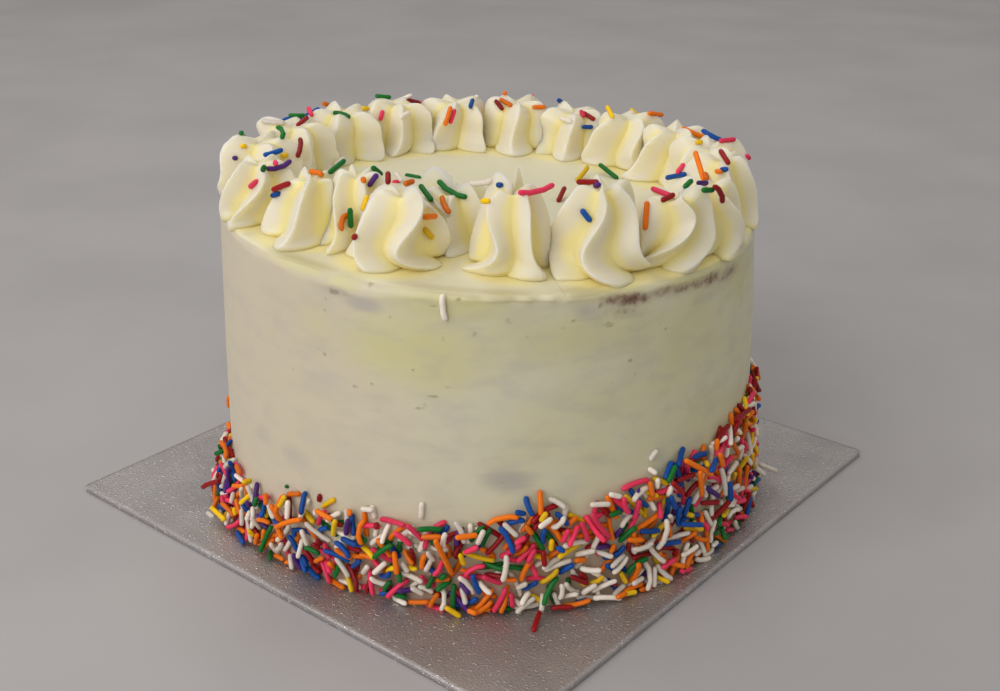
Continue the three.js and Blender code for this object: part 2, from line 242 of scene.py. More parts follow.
class Nodes:
    """A node tree, to which nodes are added one by one."""

    def __init__(self, tree: bpy.types.NodeTree) -> None:
        """Keeps the tree."""
        self.tree = tree

    def feed(self, socket: bpy.types.NodeSocket, value: object) -> None:
        """Gives a socket its value.

        Args:
            socket: The input.
            value: A wire, which is linked to it, or the socket's own value.
        """
        if isinstance(value, Wire):
            self.tree.links.new(value.socket, socket)
        else:
            socket.default_value = value

    def add(
        self,
        kind: str,
        settings: dict[str, object] | None = None,
        inputs: dict[str | int, object] | None = None,
        output: str | int = 0,
    ) -> Wire:
        """Adds any node.

        Args:
            kind: The node's type.
            settings: What is set before its sockets, such as an operation.
            inputs: Values or wires by socket name or number.
            output: The output that is wanted.

        Returns:
            The wire from that output.
        """
        node = self.tree.nodes.new(kind)
        for name, value in (settings or {}).items():
            setattr(node, name, value)
        for name, value in (inputs or {}).items():
            self.feed(node.inputs[name], value)
        return Wire(self, node.outputs[output])


class Shader(Nodes):
    """A node material with a Principled surface, built by adding nodes to it."""

    def __init__(self, name: str) -> None:
        """Makes the material and keeps its surface node.

        Args:
            name: The material's name.
        """
        self.material = bpy.data.materials.new(name)
        self.material.use_nodes = True
        super().__init__(self.material.node_tree)
        self.surface = self.tree.nodes["Principled BSDF"]

    def place(self) -> Wire:
        """Returns the point's place on the object, in metres."""
        return self.add("ShaderNodeTexCoord", output="Object")

    def attribute(self, name: str) -> Wire:
        """Returns a number that the mesh carries at each point."""
        return self.add("ShaderNodeAttribute", {"attribute_name": name}, output="Fac")

    def noise(self, where: Wire, size: float, detail: float = 2.0, stretch: Point3 = (1, 1, 1)) -> Wire:
        """Adds fractal noise.

        Args:
            where: The coordinates it is read at, in metres.
            size: Width of its largest lumps, in millimetres.
            detail: How many finer layers it has.
            stretch: How many times finer it is along each axis.

        Returns:
            The noise, about 0.5 on average.
        """
        scaled = self.add("ShaderNodeVectorMath", {"operation": "MULTIPLY"}, {0: where, 1: stretch})
        return self.add(
            "ShaderNodeTexNoise",
            inputs={"Vector": scaled, "Scale": 1.0 / (size * MM), "Detail": detail},
        )

    def mix(self, share: "Wire | float", first: object, second: object) -> Wire:
        """Mixes two colours.

        Args:
            share: How much of the second, from 0 to 1.
            first: A colour, or the wire of one.
            second: Another.

        Returns:
            The mixed colour.
        """
        ends = [v if isinstance(v, Wire) else (*v, 1.0) for v in (first, second)]
        inputs = {0: share, 6: ends[0], 7: ends[1]}
        return self.add("ShaderNodeMix", {"data_type": "RGBA"}, inputs, output=2)

    def bump(self, height: Wire, depth: float, strength: float = 1.0) -> Wire:
        """Returns the normal of a relief, whose depth at a height of 1 is in millimetres."""
        return self.add(
            "ShaderNodeBump", inputs={"Height": height, "Distance": depth * MM, "Strength": strength}
        )

    def finish(self, **inputs: object) -> bpy.types.Material:
        """Sets sockets of the surface.

        Args:
            inputs: Values or wires, by socket name with underscores for spaces.

        Returns:
            The finished material.
        """
        for name, value in inputs.items():
            self.feed(self.surface.inputs[name.replace("_", " ")], value)
        return self.material


@dataclass(frozen=True)
class PipedCream:
    """Piped buttercream: painted highlights on its ridges, a painted yellow glow in its grooves."""

    slot: str = "cream"
    petal: Colour3 = (0.80, 0.75, 0.58)
    # Painted highlight along the fins' sharpest edges.
    edge: Colour3 = (0.79, 0.74, 0.63)
    # Painted glow: the yellow of light that sinks into the cream in its grooves and low down.
    groove: Colour3 = (0.87, 0.78, 0.34)
    # Painted glow at the foot, where the swirl meets the top.
    contact_glow: Colour3 = (0.90, 0.74, 0.22)
    roughness: float = 0.42
    # How deep light goes, in metres, and how far each colour of it.
    light_depth: float = 0.005
    light_reach: Colour3 = (1.0, 0.93, 0.5)

    def material(self) -> bpy.types.Material:
        """Makes the cream.

        The mesh carries the ridge share, 1 on a fin's edge and 0 in a groove, and the level, 0 at the
        foot and 1 at the crown. Low shares turn the petal colour into the groove's, a painted yellow
        glow of the light that sinks into the cream, low levels turn it into the groove's and then into a
        painted glow at the foot, and the sharpest ridges take a paler colour, a painted highlight.

        Returns:
            The material.
        """
        shader = Shader("piped cream")
        where = shader.place()
        ridge = shader.attribute("ridge")
        level = shader.attribute("level")
        cloud = shader.noise(where, 9.0)
        # Painted glow: where the ridge share is low, the groove's yellow.
        depth = (ridge + (cloud - 0.5) * 0.25).step(0.42, 0.0)
        colour = shader.mix(depth, self.petal, self.groove)
        # Painted highlight: the sharpest ridges are paler.
        colour = shader.mix(ridge.step(0.86, 0.98) * 0.8, colour, self.edge)
        # Painted glow low on the swirl, most in its grooves.
        colour = shader.mix((level + ridge * 0.45).step(0.42, 0.0) * 0.6, colour, self.groove)
        # Painted glow at the foot.
        colour = shader.mix((level + ridge * 0.04).step(0.12, 0.0) * 0.8, colour, self.contact_glow)
        grain = shader.noise(where, 0.9, 3.0) + shader.noise(where, 4.0) * 2.0
        return shader.finish(
            Base_Color=colour,
            Roughness=self.roughness + (cloud - 0.5) * 0.2,
            Normal=shader.bump(grain, 0.05, 0.6),
            Subsurface_Weight=0.85,
            Subsurface_Radius=self.light_reach,
            Subsurface_Scale=self.light_depth,
        )


@dataclass(frozen=True)
class ScrapedIcing:
    """Buttercream scraped thin over sponge: cloudy ivory, grey where thin, brown where torn."""

    slot: str = "icing"
    clean: Colour3 = (0.69, 0.665, 0.495)
    blush: Colour3 = (0.63, 0.565, 0.42)
    # Yellower icing: richer icing in places, painted shade under the rim in others.
    rich_and_shade: Colour3 = (0.64, 0.61, 0.325)
    thin: Colour3 = (0.50, 0.465, 0.385)
    # Brown round torn places: partly a crumb smear, partly painted shadow under the rim.
    smear_and_shadow: Colour3 = (0.38, 0.305, 0.205)
    crumb: Colour3 = (0.185, 0.09, 0.055)
    speck: Colour3 = (0.28, 0.22, 0.085)
    # Painted shade among the crowded rods, warm with light bounced off them.
    pile_shade: Colour3 = (0.36, 0.17, 0.10)
    top: Colour3 = (0.735, 0.70, 0.50)
    # Painted shade: the top's edge, darker and yellower.
    wear_and_shade: Colour3 = (0.53, 0.48, 0.26)
    glow: Colour3 = (0.90, 0.79, 0.33)
    roughness: float = 0.48
    # How deep light goes, in metres, and how far each colour of it.
    light_depth: float = 0.004
    light_reach: Colour3 = (1.0, 0.95, 0.6)

    def material(self) -> bpy.types.Material:
        """Makes the icing from the shares that the cake's mesh carries at each point.

        On the wall the clean colour gives way in turn to the blush, a yellower colour that is richer
        icing in some places and painted shade under the rim in others, thin patches, painted shade among
        the crowded rods, warm with light bounced off them, pits, a brown halo round torn places that is
        partly painted shadow under the rim, and the crumb in them, each by its own share with noise
        added, so that its border is cloudy. On the flat top the top's colour gives way to painted shade,
        darker and yellower, along its edge, and to a painted glow at the swirls' feet.

        Returns:
            The material.
        """
        shader = Shader("scraped icing")
        where = shader.place()
        cloud = shader.noise(where, 16.0, 3.0)
        broad = shader.noise(where, 42.0, 2.0)
        scrape = shader.noise(where, 26.0, 3.0, (1.0, 1.0, 9.0))
        fleck = shader.noise(where, 1.5, 2.0)
        mottle = (cloud - 0.5) * 0.9 + (broad - 0.5) * 1.2
        wall = shader.mix(shader.attribute("blush"), self.clean, self.blush)
        # Yellower icing: richer icing in places, painted shade under the rim in others.
        wall = shader.mix((shader.attribute("rich_and_shade") + mottle * 0.7).step(0.0, 1.0), wall, self.rich_and_shade)
        patchy = (shader.attribute("thin") + mottle * 0.5 + (scrape - 0.5) * 0.5).step(0.3, 1.2)
        smears = shader.noise(where, 11.0, 5.0, (1.0, 1.0, 2.2)).step(0.42, 0.72)
        wall = shader.mix(patchy + (1.0 - patchy) * smears * 0.3, wall, self.thin)
        # Painted shade among the crowded rods, warm with light bounced off them.
        pile_shading = (shader.attribute("pile_shaded") + (cloud - 0.5) * 1.2).step(0.25, 1.1)
        wall = shader.mix(pile_shading * 0.6, wall, self.pile_shade)
        pits = (shader.attribute("pitted") + (fleck - 0.5) * 0.9).step(0.3, 0.85)
        wall = shader.mix(pits * 0.55, wall, self.speck)
        torn = shader.attribute("torn")
        # Brown round torn places: partly a crumb smear, partly painted shadow under the rim.
        wall = shader.mix((torn + (fleck - 0.5) * 0.4).step(0.02, 0.75) * 0.7, wall, self.smear_and_shadow)
        crumbs = (torn + (fleck - 0.5) * 1.1 + (cloud - 0.5) * 0.5).step(0.4, 1.2)
        wall = shader.mix(crumbs, wall, self.crumb)
        flat = (shader.attribute("flat") + (fleck - 0.5) * 0.3).step(0.2, 0.8)
        # Painted shade: the top's edge turns darker and yellower where the yellower places reach it.
        top = shader.mix(shader.attribute("rich_and_shade").step(0.1, 0.9) * 0.9, self.top, self.wear_and_shade)
        top = shader.mix(shader.attribute("lit") * 0.85, top, self.glow)
        relief = scrape * 0.5 + cloud * 0.5 + fleck * 0.12 - pits * 1.2 - crumbs * 0.5
        return shader.finish(
            Base_Color=shader.mix(flat, wall, top),
            Roughness=self.roughness + crumbs * 0.3 + (cloud - 0.5) * 0.12,
            Normal=shader.bump(relief, 0.22, 0.7),
            Subsurface_Weight=0.6,
            Subsurface_Radius=self.light_reach,
            Subsurface_Scale=self.light_depth,
        )


@dataclass(frozen=True)
class CardFoil:
    """Silver foil with a fine embossed grain, laid over board."""

    slot: str = "foil"
    silver: Colour3 = (0.53, 0.505, 0.495)
    dull: Colour3 = (0.44, 0.42, 0.415)
    glint: Colour3 = (0.85, 0.81, 0.79)
    roughness: float = 0.52

    def material(self) -> bpy.types.Material:
        """Makes the foil, dented by a grain finer than a millimetre.

        Slow clouds dull it, and small flakes that catch the light are smoother and brighter.

        Returns:
            The material.
        """
        shader = Shader("embossed foil")
        where = shader.place()
        grain = shader.noise(where, 0.7, 2.0)
        flakes = shader.noise(where, 1.1, 1.0).step(0.6, 0.66)
        cloud = shader.noise(where, 25.0, 3.0)
        colour = shader.mix(cloud.step(0.35, 0.7), self.silver, self.dull)
        return shader.finish(
            Base_Color=shader.mix(flakes * 0.8, colour, self.glint),
            Metallic=0.95,
            Roughness=self.roughness + (cloud - 0.5) * 0.15 - flakes * 0.37,
            Normal=shader.bump(grain + cloud * 0.8 + flakes * 0.9, 0.3, 0.9),
        )


@dataclass(frozen=True)
class SugarGlaze:
    """The glaze of one colour of sugar rod, and how often that colour comes up."""

    colour: Colour3
    share: float
    # How much darker and lighter than the colour a rod may be.
    dark: float = 0.72
    light: float = 1.15
    roughness: float = 0.34
    # How deep light goes, in metres, and how far each colour of it.
    light_depth: float = 0.0008
    light_reach: Colour3 = (1.0, 0.7, 0.5)

    def material(self, name: str) -> bpy.types.Material:
        """Makes the glazed sugar, a shade lighter or darker from rod to rod.

        Args:
            name: The colour's name.

        Returns:
            The material.
        """
        shader = Shader(f"{name} sugar")
        where = shader.place()
        tint = shader.attribute("tint")
        dark = tuple(self.dark * c for c in self.colour)
        light = tuple(min(1.0, self.light * c) for c in self.colour)
        blotch = shader.noise(where, 1.6, 2.0)
        return shader.finish(
            Base_Color=shader.mix((tint + (blotch - 0.5) * 0.5).step(0.0, 1.0), dark, light),
            Roughness=self.roughness + (blotch - 0.5) * 0.2,
            Specular_IOR_Level=0.22,
            Normal=shader.bump(blotch, 0.06, 0.5),
            Subsurface_Weight=0.12,
            Subsurface_Radius=self.light_reach,
            Subsurface_Scale=self.light_depth,
        )


class Sugar(Enum):
    """The colours of the sugar rods."""

    WHITE = SugarGlaze((0.85, 0.775, 0.66), 0.27)
    ORANGE = SugarGlaze((0.86, 0.185, 0.004), 0.20)
    PINK = SugarGlaze((0.86, 0.045, 0.12), 0.13)
    RED = SugarGlaze((0.30, 0.006, 0.008), 0.12)
    BLUE = SugarGlaze((0.004, 0.075, 0.34), 0.09)
    GREEN = SugarGlaze((0.006, 0.16, 0.022), 0.07)
    YELLOW = SugarGlaze((0.88, 0.55, 0.006), 0.08)
    PURPLE = SugarGlaze((0.085, 0.022, 0.19), 0.03)


# Pieces


def add_piece(
    name: str,
    skin: Skin,
    material: bpy.types.Material,
    carried: dict[str, np.ndarray] | None = None,
) -> bpy.types.Object:
    """Makes a smooth-shaded object from a skin in the cake's frame.

    Args:
        name: The object's name.
        skin: Points in millimetres, four-sided faces and triangles.
        material: Its finish.
        carried: Numbers for the material to read, one for each point, by name.

    Returns:
        The object, at the origin, with its place in its mesh.
    """
    points, sides, fans = skin
    mesh = bpy.data.meshes.new(name)
    mesh.vertices.add(len(points))
    mesh.vertices.foreach_set("co", CAKE_FRAME.to_row(points).astype(np.float32).ravel())
    corners = np.concatenate([sides.ravel(), fans.ravel()]).astype(np.int32)
    mesh.loops.add(len(corners))
    mesh.loops.foreach_set("vertex_index", corners)
    starts = np.concatenate([
        4 * np.arange(len(sides)),
        4 * len(sides) + 3 * np.arange(len(fans)),
    ])
    mesh.polygons.add(len(starts))
    mesh.polygons.foreach_set("loop_start", starts.astype(np.int32))
    mesh.update(calc_edges=True)
    mesh.shade_smooth()
    for key, values in (carried or {}).items():
        layer = mesh.attributes.new(key, "FLOAT", "POINT")
        layer.data.foreach_set("value", values.astype(np.float32).ravel())
    mesh.materials.append(material)
    piece = bpy.data.objects.new(name, mesh)
    bpy.context.scene.collection.objects.link(piece)
    return piece


def with_poles(values: np.ndarray) -> np.ndarray:
    """Returns the numbers of a ring skin with those of its two poles, which copy their rings."""
    return np.concatenate([values.ravel(), [values[0].mean(), values[-1].mean()]])


@dataclass(frozen=True)
class IcedCake:
    """The cake's body: its scraped wall, rounded shoulder, rim lip and flat top.

    Sizes are in millimetres. What ends in `_at` and `_width` is in degrees round the cake: the
    middle of a feature and how far it spreads.
    """

    top_radius: float = 89.8
    base_radius: float = 93.0
    height: float = 102.0
    lean: float = 0.042
    columns: int = 960
    # The wall: its waves, its streaks and dents, its bulge under the crowd and its tucked foot.
    waves: Pair = (0.3, 0.2)
    streaks: float = 0.03
    dents: Pair = (0.26, 0.07)
    squeezed_out: float = 0.4
    squeezed_height: float = 2.6
    bulge: float = 0.7
    tuck: float = 2.6
    tuck_height: float = 13.0
    tuck_at: float = -118.0
    tuck_width: float = 25.0
    # The band that the crowd covers, with a hump on the right.
    band_low: float = 25.0
    band_rise: float = 20.0
    band_rise_at: float = -18.0
    band_rise_width: float = 36.0
    band_waver: float = 2.0
    # The shoulder, thinner under the slab of icing at the front and wider where it is worn.
    shoulder: float = 2.3
    slab_thins: float = 0.9
    worn_adds: float = 1.8
    shoulder_waver: float = 0.4
    lip_at: float = -82.0
    lip_width: float = 11.0
    lip_height: float = 100.6
    lip_reach: float = 1.3
    worn_at: float = -119.0
    worn_width: float = 15.0
    # The wall's rows are even up to here, and from there they close in on the shoulder.
    even_top: float = 93.0
    low_rows: tuple[float, ...] = (-0.25, 0.4, 1.1, 2.0)
    even_rows: int = 84
    shoulder_rows: int = 10
    top_rows: int = 34
    # The top rises by this against the swirls' feet.
    foot_rise: float = 0.55
    # Places are laid out on a wall of this radius, and thin and torn ones stay below this height.
    place_radius: float = 91.0
    place_top: float = 101.0
    blush_at: float = 200.0
    finish: ScrapedIcing = field(default_factory=ScrapedIcing)

    # Thin places in the icing: angle, height, half width and half height in millimetres, strength.
    thin_places: tuple[Place, ...] = (
        (-118.5, 97.2, 6, 2.2, 1.1), (-113, 95.3, 8, 2.8, 1.3), (-124, 99.3, 5, 1.8, 0.6),
        (-101, 98, 3, 2.5, 0.5), (-96, 95, 6, 4, 0.5), (-131, 92, 8, 8, 0.5), (-122, 68, 15, 9, 0.6),
        (-95, 64, 14, 10, 0.45), (-142, 40, 9, 6, 0.8), (-131, 39, 11, 5, 0.8), (-121, 41, 8, 5, 0.3),
        (-86, 44, 11, 4.5, 1.1), (-60, 77, 14, 7, 0.5), (-66, 72, 9, 6, 0.4), (-48, 74, 12, 9, 0.35),
        (-92, 90.5, 5, 3, 0.7), (-80, 90, 8, 4, 0.55), (-71.5, 96.5, 6, 3.4, 1.0), (-62, 94, 12, 3, 0.7),
        (-38, 93, 16, 4, 0.6), (20, 60, 16, 8, 0.5), (75, 45, 20, 8, 0.5), (125, 70, 18, 9, 0.5),
        (170, 50, 15, 8, 0.5),
    )
    # Torn places that show crumb, as above; the brown round them is partly painted shadow under the rim.
    torn_places: tuple[Place, ...] = (
        (-66, 99.0, 5, 2.0, 0.85), (-63, 98.6, 5.5, 2.4, 1.05), (-60.5, 98.0, 4.5, 2.0, 0.85),
        (-64, 95.6, 6, 2.6, 0.5), (-55, 98.8, 8, 1.8, 0.7), (-50, 98.0, 8, 1.8, 0.75),
        (-45, 97.8, 7, 2.0, 0.7), (-41, 97.6, 6, 2.4, 0.85), (-34, 96.4, 9, 2.6, 0.75),
        (-70, 94, 3, 1, 0.35), (-116, 97, 2.5, 0.7, 0.4), (140, 98, 12, 1.6, 0.7),
        (60, 97.5, 14, 1.5, 0.7),
    )
    # Places where the icing turns yellower, as above: richer icing in some, and painted shade in others,
    # under the rim and along the top's edge.
    rich_and_shade_places: tuple[Place, ...] = (
        (-98, 98, 22, 6, 1.0), (-103, 84, 22, 14, 1.1), (-117, 100, 9, 3, 0.8), (-124, 87, 10, 9, 0.45),
        (-72, 90, 40, 12, 0.7), (-40, 60, 50, 60, 0.55), (-28, 92, 22, 12, 0.8), (-75, 50, 30, 40, 0.3),
        (10, 60, 60, 60, 0.6), (90, 60, 80, 60, 0.5), (170, 60, 40, 60, 0.3),
        (-87, 102, 14, 3, 0.7), (-68, 102, 15, 3.5, 1.1), (-46, 101.5, 18, 4, 1.3),
        (-128, 102, 18, 3, 0.9),
    )
    # Pits, crumbs and wrinkles no longer than a few millimetres, as above.
    pits: tuple[Place, ...] = (
        (-124.2, 100, 1.2, 0.8, 0.6), (-119, 96.8, 1.8, 0.9, 1.0), (-119.8, 98, 0.9, 0.7, 0.6),
        (-121, 94.3, 0.9, 0.7, 0.6), (-121, 90.4, 1.6, 0.8, 0.8), (-121, 87.2, 1.4, 0.8, 0.5),
        (-111.5, 101, 1.4, 1.0, 0.7), (-107.4, 92.6, 1.5, 1.1, 0.6), (-94.7, 100.4, 0.9, 0.8, 0.9),
        (-99.3, 97.8, 2.0, 0.8, 0.7), (-97.8, 88, 1.6, 0.9, 0.55), (-123, 77.4, 1.6, 0.7, 0.7),
        (-121.7, 76.5, 1.5, 0.7, 0.7), (-130.3, 67.7, 1.2, 1.1, 0.7), (-114.9, 68.8, 1.6, 0.7, 0.9),
        (-111.4, 70.8, 1.1, 1.1, 0.7), (-103.3, 77.9, 0.9, 0.8, 0.5), (-99.7, 70.2, 1.8, 0.7, 0.9),
        (-98.2, 71.8, 1.6, 0.6, 0.7), (-97.0, 73.3, 2.0, 0.6, 0.6), (-101.2, 67.6, 1.5, 0.7, 0.6),
        (-102.4, 65.9, 1.8, 0.7, 0.8), (-104.7, 67.2, 1.6, 0.7, 0.6), (-109.9, 63.1, 1.6, 0.7, 0.6),
        (-107.8, 62.2, 1.4, 0.7, 0.5), (-106.0, 60.8, 1.9, 0.6, 0.5), (-86, 94.4, 1.4, 0.8, 0.9),
        (-91.9, 90.2, 1.4, 1.1, 0.6), (-82.5, 89.6, 1.2, 0.8, 0.6), (-81.9, 92.6, 2.0, 1.0, 0.5),
        (-75.2, 102.2, 1.0, 0.9, 0.8), (-75.9, 91.7, 1.6, 1.0, 0.6), (-73.8, 94, 2.0, 0.9, 0.6),
        (-68.8, 97.7, 1.2, 1.0, 1.0), (-67.1, 91.4, 2.6, 1.0, 0.8), (-62.4, 78.7, 1.1, 0.9, 0.8),
        (-61.2, 74.1, 1.1, 1.0, 0.6), (-57.3, 72.8, 1.2, 0.9, 0.6), (-66.5, 72.8, 1.8, 0.7, 0.5),
        (-55.9, 88.9, 1.6, 0.9, 0.6), (-54.2, 86.3, 1.2, 0.9, 0.6), (-52.8, 84.5, 1.2, 0.9, 0.5),
        (-57.5, 91.5, 1.2, 0.8, 0.5), (-86.7, 43, 3.0, 1.0, 0.5), (-84, 42, 1.6, 0.8, 0.5),
        (30, 80, 1.5, 0.9, 0.7), (62, 55, 1.6, 0.8, 0.6), (110, 84, 1.6, 0.9, 0.7),
        (150, 62, 1.5, 0.9, 0.6),
    )

    @staticmethod
    def _near(angle: np.ndarray, at: float, wide: float) -> np.ndarray:
        """Returns a bell round the cake: 1 at an angle in degrees, falling over so many degrees."""
        off = np.mod(angle - math.radians(at) + math.pi, 2 * math.pi) - math.pi
        return np.exp(-((off / math.radians(wide)) ** 2))

    def band_top(self, angle: np.ndarray) -> np.ndarray:
        """Returns how high the crowded band climbs the wall, with a hump on the right."""
        hump = self.band_rise * self._near(angle, self.band_rise_at, self.band_rise_width)
        return self.band_low + hump + self.band_waver * np.sin(5 * angle + 2 * math.pi * chance(3, 1))

    def wall_radius(self, angle: np.ndarray, z: np.ndarray) -> np.ndarray:
        """Works out the wall's radius without its fine relief.

        It is a straight taper, plus two slow waves that twist as they rise, plus a bulge that
        falls off as a bell over the band, less a tuck at the foot, a bell round and a bell up.

        Args:
            angle: Angle round the cake.
            z: Height on the wall.

        Returns:
            The radius there.
        """
        taper = self.base_radius + (self.top_radius - self.base_radius) * z / self.height
        twice = self.waves[0] * np.sin(2 * angle + 1.1 + z / 30)
        fivefold = self.waves[1] * np.sin(5 * angle + 0.7 - z / 18)
        bulge = self.bulge * np.exp(-((z / (0.6 * self.band_top(angle))) ** 2))
        round_tuck = self._near(angle, self.tuck_at, self.tuck_width)
        tuck = self.tuck * round_tuck * np.exp(-((z / self.tuck_height) ** 2))
        return taper + (twice + fivefold) + bulge - tuck

    def foot_relief(self, z: np.ndarray) -> np.ndarray:
        """Returns how far the icing squeezes out over the card at a height."""
        return self.squeezed_out * np.exp(-np.clip(z, 0, None) / self.squeezed_height)

    def _relief(self, angle: np.ndarray, z: np.ndarray) -> np.ndarray:
        """Works out how far the scraped wall stands out: level streaks, slow dents and the foot.

        Args:
            angle: Angle round the cake.
            z: Height on the wall.

        Returns:
            The relief, a sum of three lattice noises and the squeezed foot.
        """
        turn = angle / (2 * math.pi)
        streaks = self.streaks * unevenness(turn * 26, z / 1.9, 1, 26)
        broad = self.dents[0] * unevenness(turn * 18, z / 19, 3, 18)
        small = self.dents[1] * unevenness(turn * 50, z / 8, 4, 50)
        return streaks + (broad + small) + self.foot_relief(z)

    def leaning(self, points: np.ndarray) -> np.ndarray:
        """Leans the cake's top to the right.

        Args:
            points: Points in the cake's frame.

        Returns:
            The points, lowered in proportion to their height and their place to the right.
        """
        lowered = points.copy()
        lowered[..., 2] -= self.lean * points[..., 0] * points[..., 2] / self.height
        return lowered

    def _places(self, rows: tuple[Place, ...], angle: np.ndarray, z: np.ndarray) -> np.ndarray:
        """Works out how strongly each point lies in one of the places.

        Args:
            rows: The places.
            angle: Angle round the cake.
            z: Height on the wall.

        Returns:
            The greatest of the places' bells, each a bell across it times one up it.
        """
        strength = np.zeros(np.broadcast_shapes(angle.shape, z.shape))
        for at, height, wide, high, amount in rows:
            off = np.mod(angle - math.radians(at) + math.pi, 2 * math.pi) - math.pi
            bell = np.exp(-((off * self.place_radius / wide) ** 2) - ((z - height) / high) ** 2)
            strength = np.maximum(strength, amount * bell)
        return strength

    @staticmethod
    def _foot_glow(feet: np.ndarray, x: np.ndarray, y: np.ndarray) -> np.ndarray:
        """Works out how close each point lies to a swirl's foot.

        Args:
            feet: The place across, the place back and the radius of each swirl.
            x: Place across of each point.
            y: Place back of each point.

        Returns:
            From 0 away from the feet to 1 against one, by a smooth step of the distance in radii.
        """
        close = 0 * x
        for across, back, radius in feet:
            close = np.maximum(close, 1 - smooth(np.hypot(x - across, y - back) / radius, 1.0, 1.4))
        return close

    def _edge(self, angle: np.ndarray) -> tuple[np.ndarray, np.ndarray, np.ndarray]:
        """Works out how the top's edge goes round the cake.

        The shoulder's radius is the plain one, less the slab's bell, plus the worn place's, plus a
        slow waver. The lip is the slab's share made ragged by two noises. The nicks are two finer
        noises.

        Args:
            angle: Angle round the cake.

        Returns:
            The shoulder's radius, the lip's share and the nicks' depth at each angle.
        """
        slab = self._near(angle, self.lip_at, self.lip_width)
        wear_and_shade = self._near(angle, self.worn_at, self.worn_width)
        shoulder = self.shoulder - self.slab_thins * slab + self.worn_adds * wear_and_shade
        shoulder = shoulder + self.shoulder_waver * noise_round(angle, 9, 5)
        ragged = 0.5 + 0.3 * noise_round(angle, 60, 9) + 0.3 * noise_round(angle, 170, 10)
        lip = (0.12 + 0.88 * slab) * np.clip(ragged, 0.1, 1.0)
        nicks = 0.5 * noise_round(angle, 70, 12) + 0.35 * noise_round(angle, 160, 13)
        return shoulder, lip, nicks

    def _wall(
        self,
        angle: np.ndarray,
        shoulder: np.ndarray,
        lip: np.ndarray,
    ) -> tuple[np.ndarray, np.ndarray]:
        """Works out the wall: its radius and relief, with the lip standing out near its top.

        Args:
            angle: Angle round the cake.
            shoulder: The shoulder's radius.
            lip: The lip's share.

        Returns:
            The radius and the height of each ring's points, from the foot to the shoulder.
        """
        even = np.linspace(3.0, self.even_top, self.even_rows)
        rise = np.linspace(0, 1, 9)[1:, None]
        low = np.concatenate([self.low_rows, even])[:, None] + 0 * angle
        z = np.concatenate([low, self.even_top + (self.height - shoulder - self.even_top) * rise])
        r = self.wall_radius(angle, z) + self._relief(angle, z)
        near = np.exp(-((z - self.lip_height) / self.lip_reach) ** 2)
        rough = unevenness(angle / (2 * math.pi) * 48, z / 3, 6, 48)
        return r + 0.9 * lip * near + 0.35 * near * rough, z

    def _shoulder(
        self,
        wall: np.ndarray,
        shoulder: np.ndarray,
        lip: np.ndarray,
        nicks: np.ndarray,
    ) -> tuple[np.ndarray, np.ndarray]:
        """Works out the shoulder: a quarter round from the wall to the top, pushed out and up.

        Args:
            wall: The wall's radius at its last ring.
            shoulder: The shoulder's radius.
            lip: The lip's share.
            nicks: The nicks' depth.

        Returns:
            The radius and the height of each ring's points.
        """
        bend = np.radians(np.linspace(0, 90, self.shoulder_rows + 1))[1:, None]
        r = wall - shoulder * (1 - np.cos(bend)) + (0.7 * lip + 0.3 * nicks) * np.cos(bend) ** 2
        z = self.height - shoulder * (1 - np.sin(bend)) + (0.45 * lip + 0.3 * nicks) * np.sin(2 * bend)
        return r, z

    def _top(self, angle: np.ndarray, edge: np.ndarray) -> tuple[np.ndarray, np.ndarray]:
        """Works out the flat top: rings inwards from its edge, with a slow swell of two noises.

        Args:
            angle: Angle round the cake.
            edge: The shoulder's radius at its last ring.

        Returns:
            The radius and the height of each ring's points.
        """
        turn = angle / (2 * math.pi)
        share = np.linspace(1, 0, self.top_rows)[1:-1, None]
        r = edge * share
        broad = 0.35 * unevenness(r / 16, 5 * turn, 7)
        small = 0.25 * unevenness(turn * 14, r / 9, 8, 14)
        inside = smooth(share, 0.0, 0.1)
        return r, self.height + (broad + small) * inside * smooth(1 - share, 0.0, 0.05)

    def skin(self, feet: np.ndarray) -> tuple[Skin, dict[str, np.ndarray]]:
        """Works out the icing as rings, up the wall, over the shoulder and inwards.

        Args:
            feet: The place across, the place back and the radius of each swirl.

        Returns:
            The skin, and for each point how thin, torn, pitted, blushed and flat the icing is, and how
            much it takes of the yellower colour, which is richer icing in places and painted shade in
            others, of the painted glow at the swirls' feet and of the painted shade among the rods.
        """
        angle = np.linspace(0, 2 * math.pi, self.columns, endpoint=False)
        shoulder, lip, nicks = self._edge(angle)
        wall_r, wall_z = self._wall(angle, shoulder, lip)
        round_r, round_z = self._shoulder(wall_r[-1], shoulder, lip, nicks)
        flat_r, flat_z = self._top(angle, round_r[-1])
        r = np.concatenate([wall_r, round_r, flat_r])
        z = np.concatenate([wall_z, round_z, flat_z])
        across, back = r * np.cos(angle), r * np.sin(angle)
        slab = self._near(angle, self.lip_at, self.lip_width)
        flat = smooth(z - self.height + 1.2 * slab, -1.0, -0.1)
        lit = self._foot_glow(feet, across, back)
        below = z < self.place_top
        turned = np.cos(angle - math.radians(self.blush_at))
        carried = {
            "thin": self._places(self.thin_places, angle, z) * below,
            "torn": self._places(self.torn_places, angle, z) * below,
            # Yellower where richer icing shows, and painted shade under the rim and along the top's
            # edge.
            "rich_and_shade": self._places(self.rich_and_shade_places, angle, z) * smooth(r, 80, 87),
            "pitted": self._places(self.pits, angle, z),
            "blush": smooth(0.5 + 0.5 * turned, 0.6, 0.97) + 0 * z,
            "flat": flat,
            "lit": lit,
            # Painted shade among the rods: full low on the band, none near its top.
            "pile_shaded": 1 - smooth(z / self.band_top(angle), 0.35, 0.9),
        }
        rings = np.stack([across, back, z + self.foot_rise * flat * lit], axis=-1)
        return closed_rings(self.leaning(rings)), {k: with_poles(v) for k, v in carried.items()}

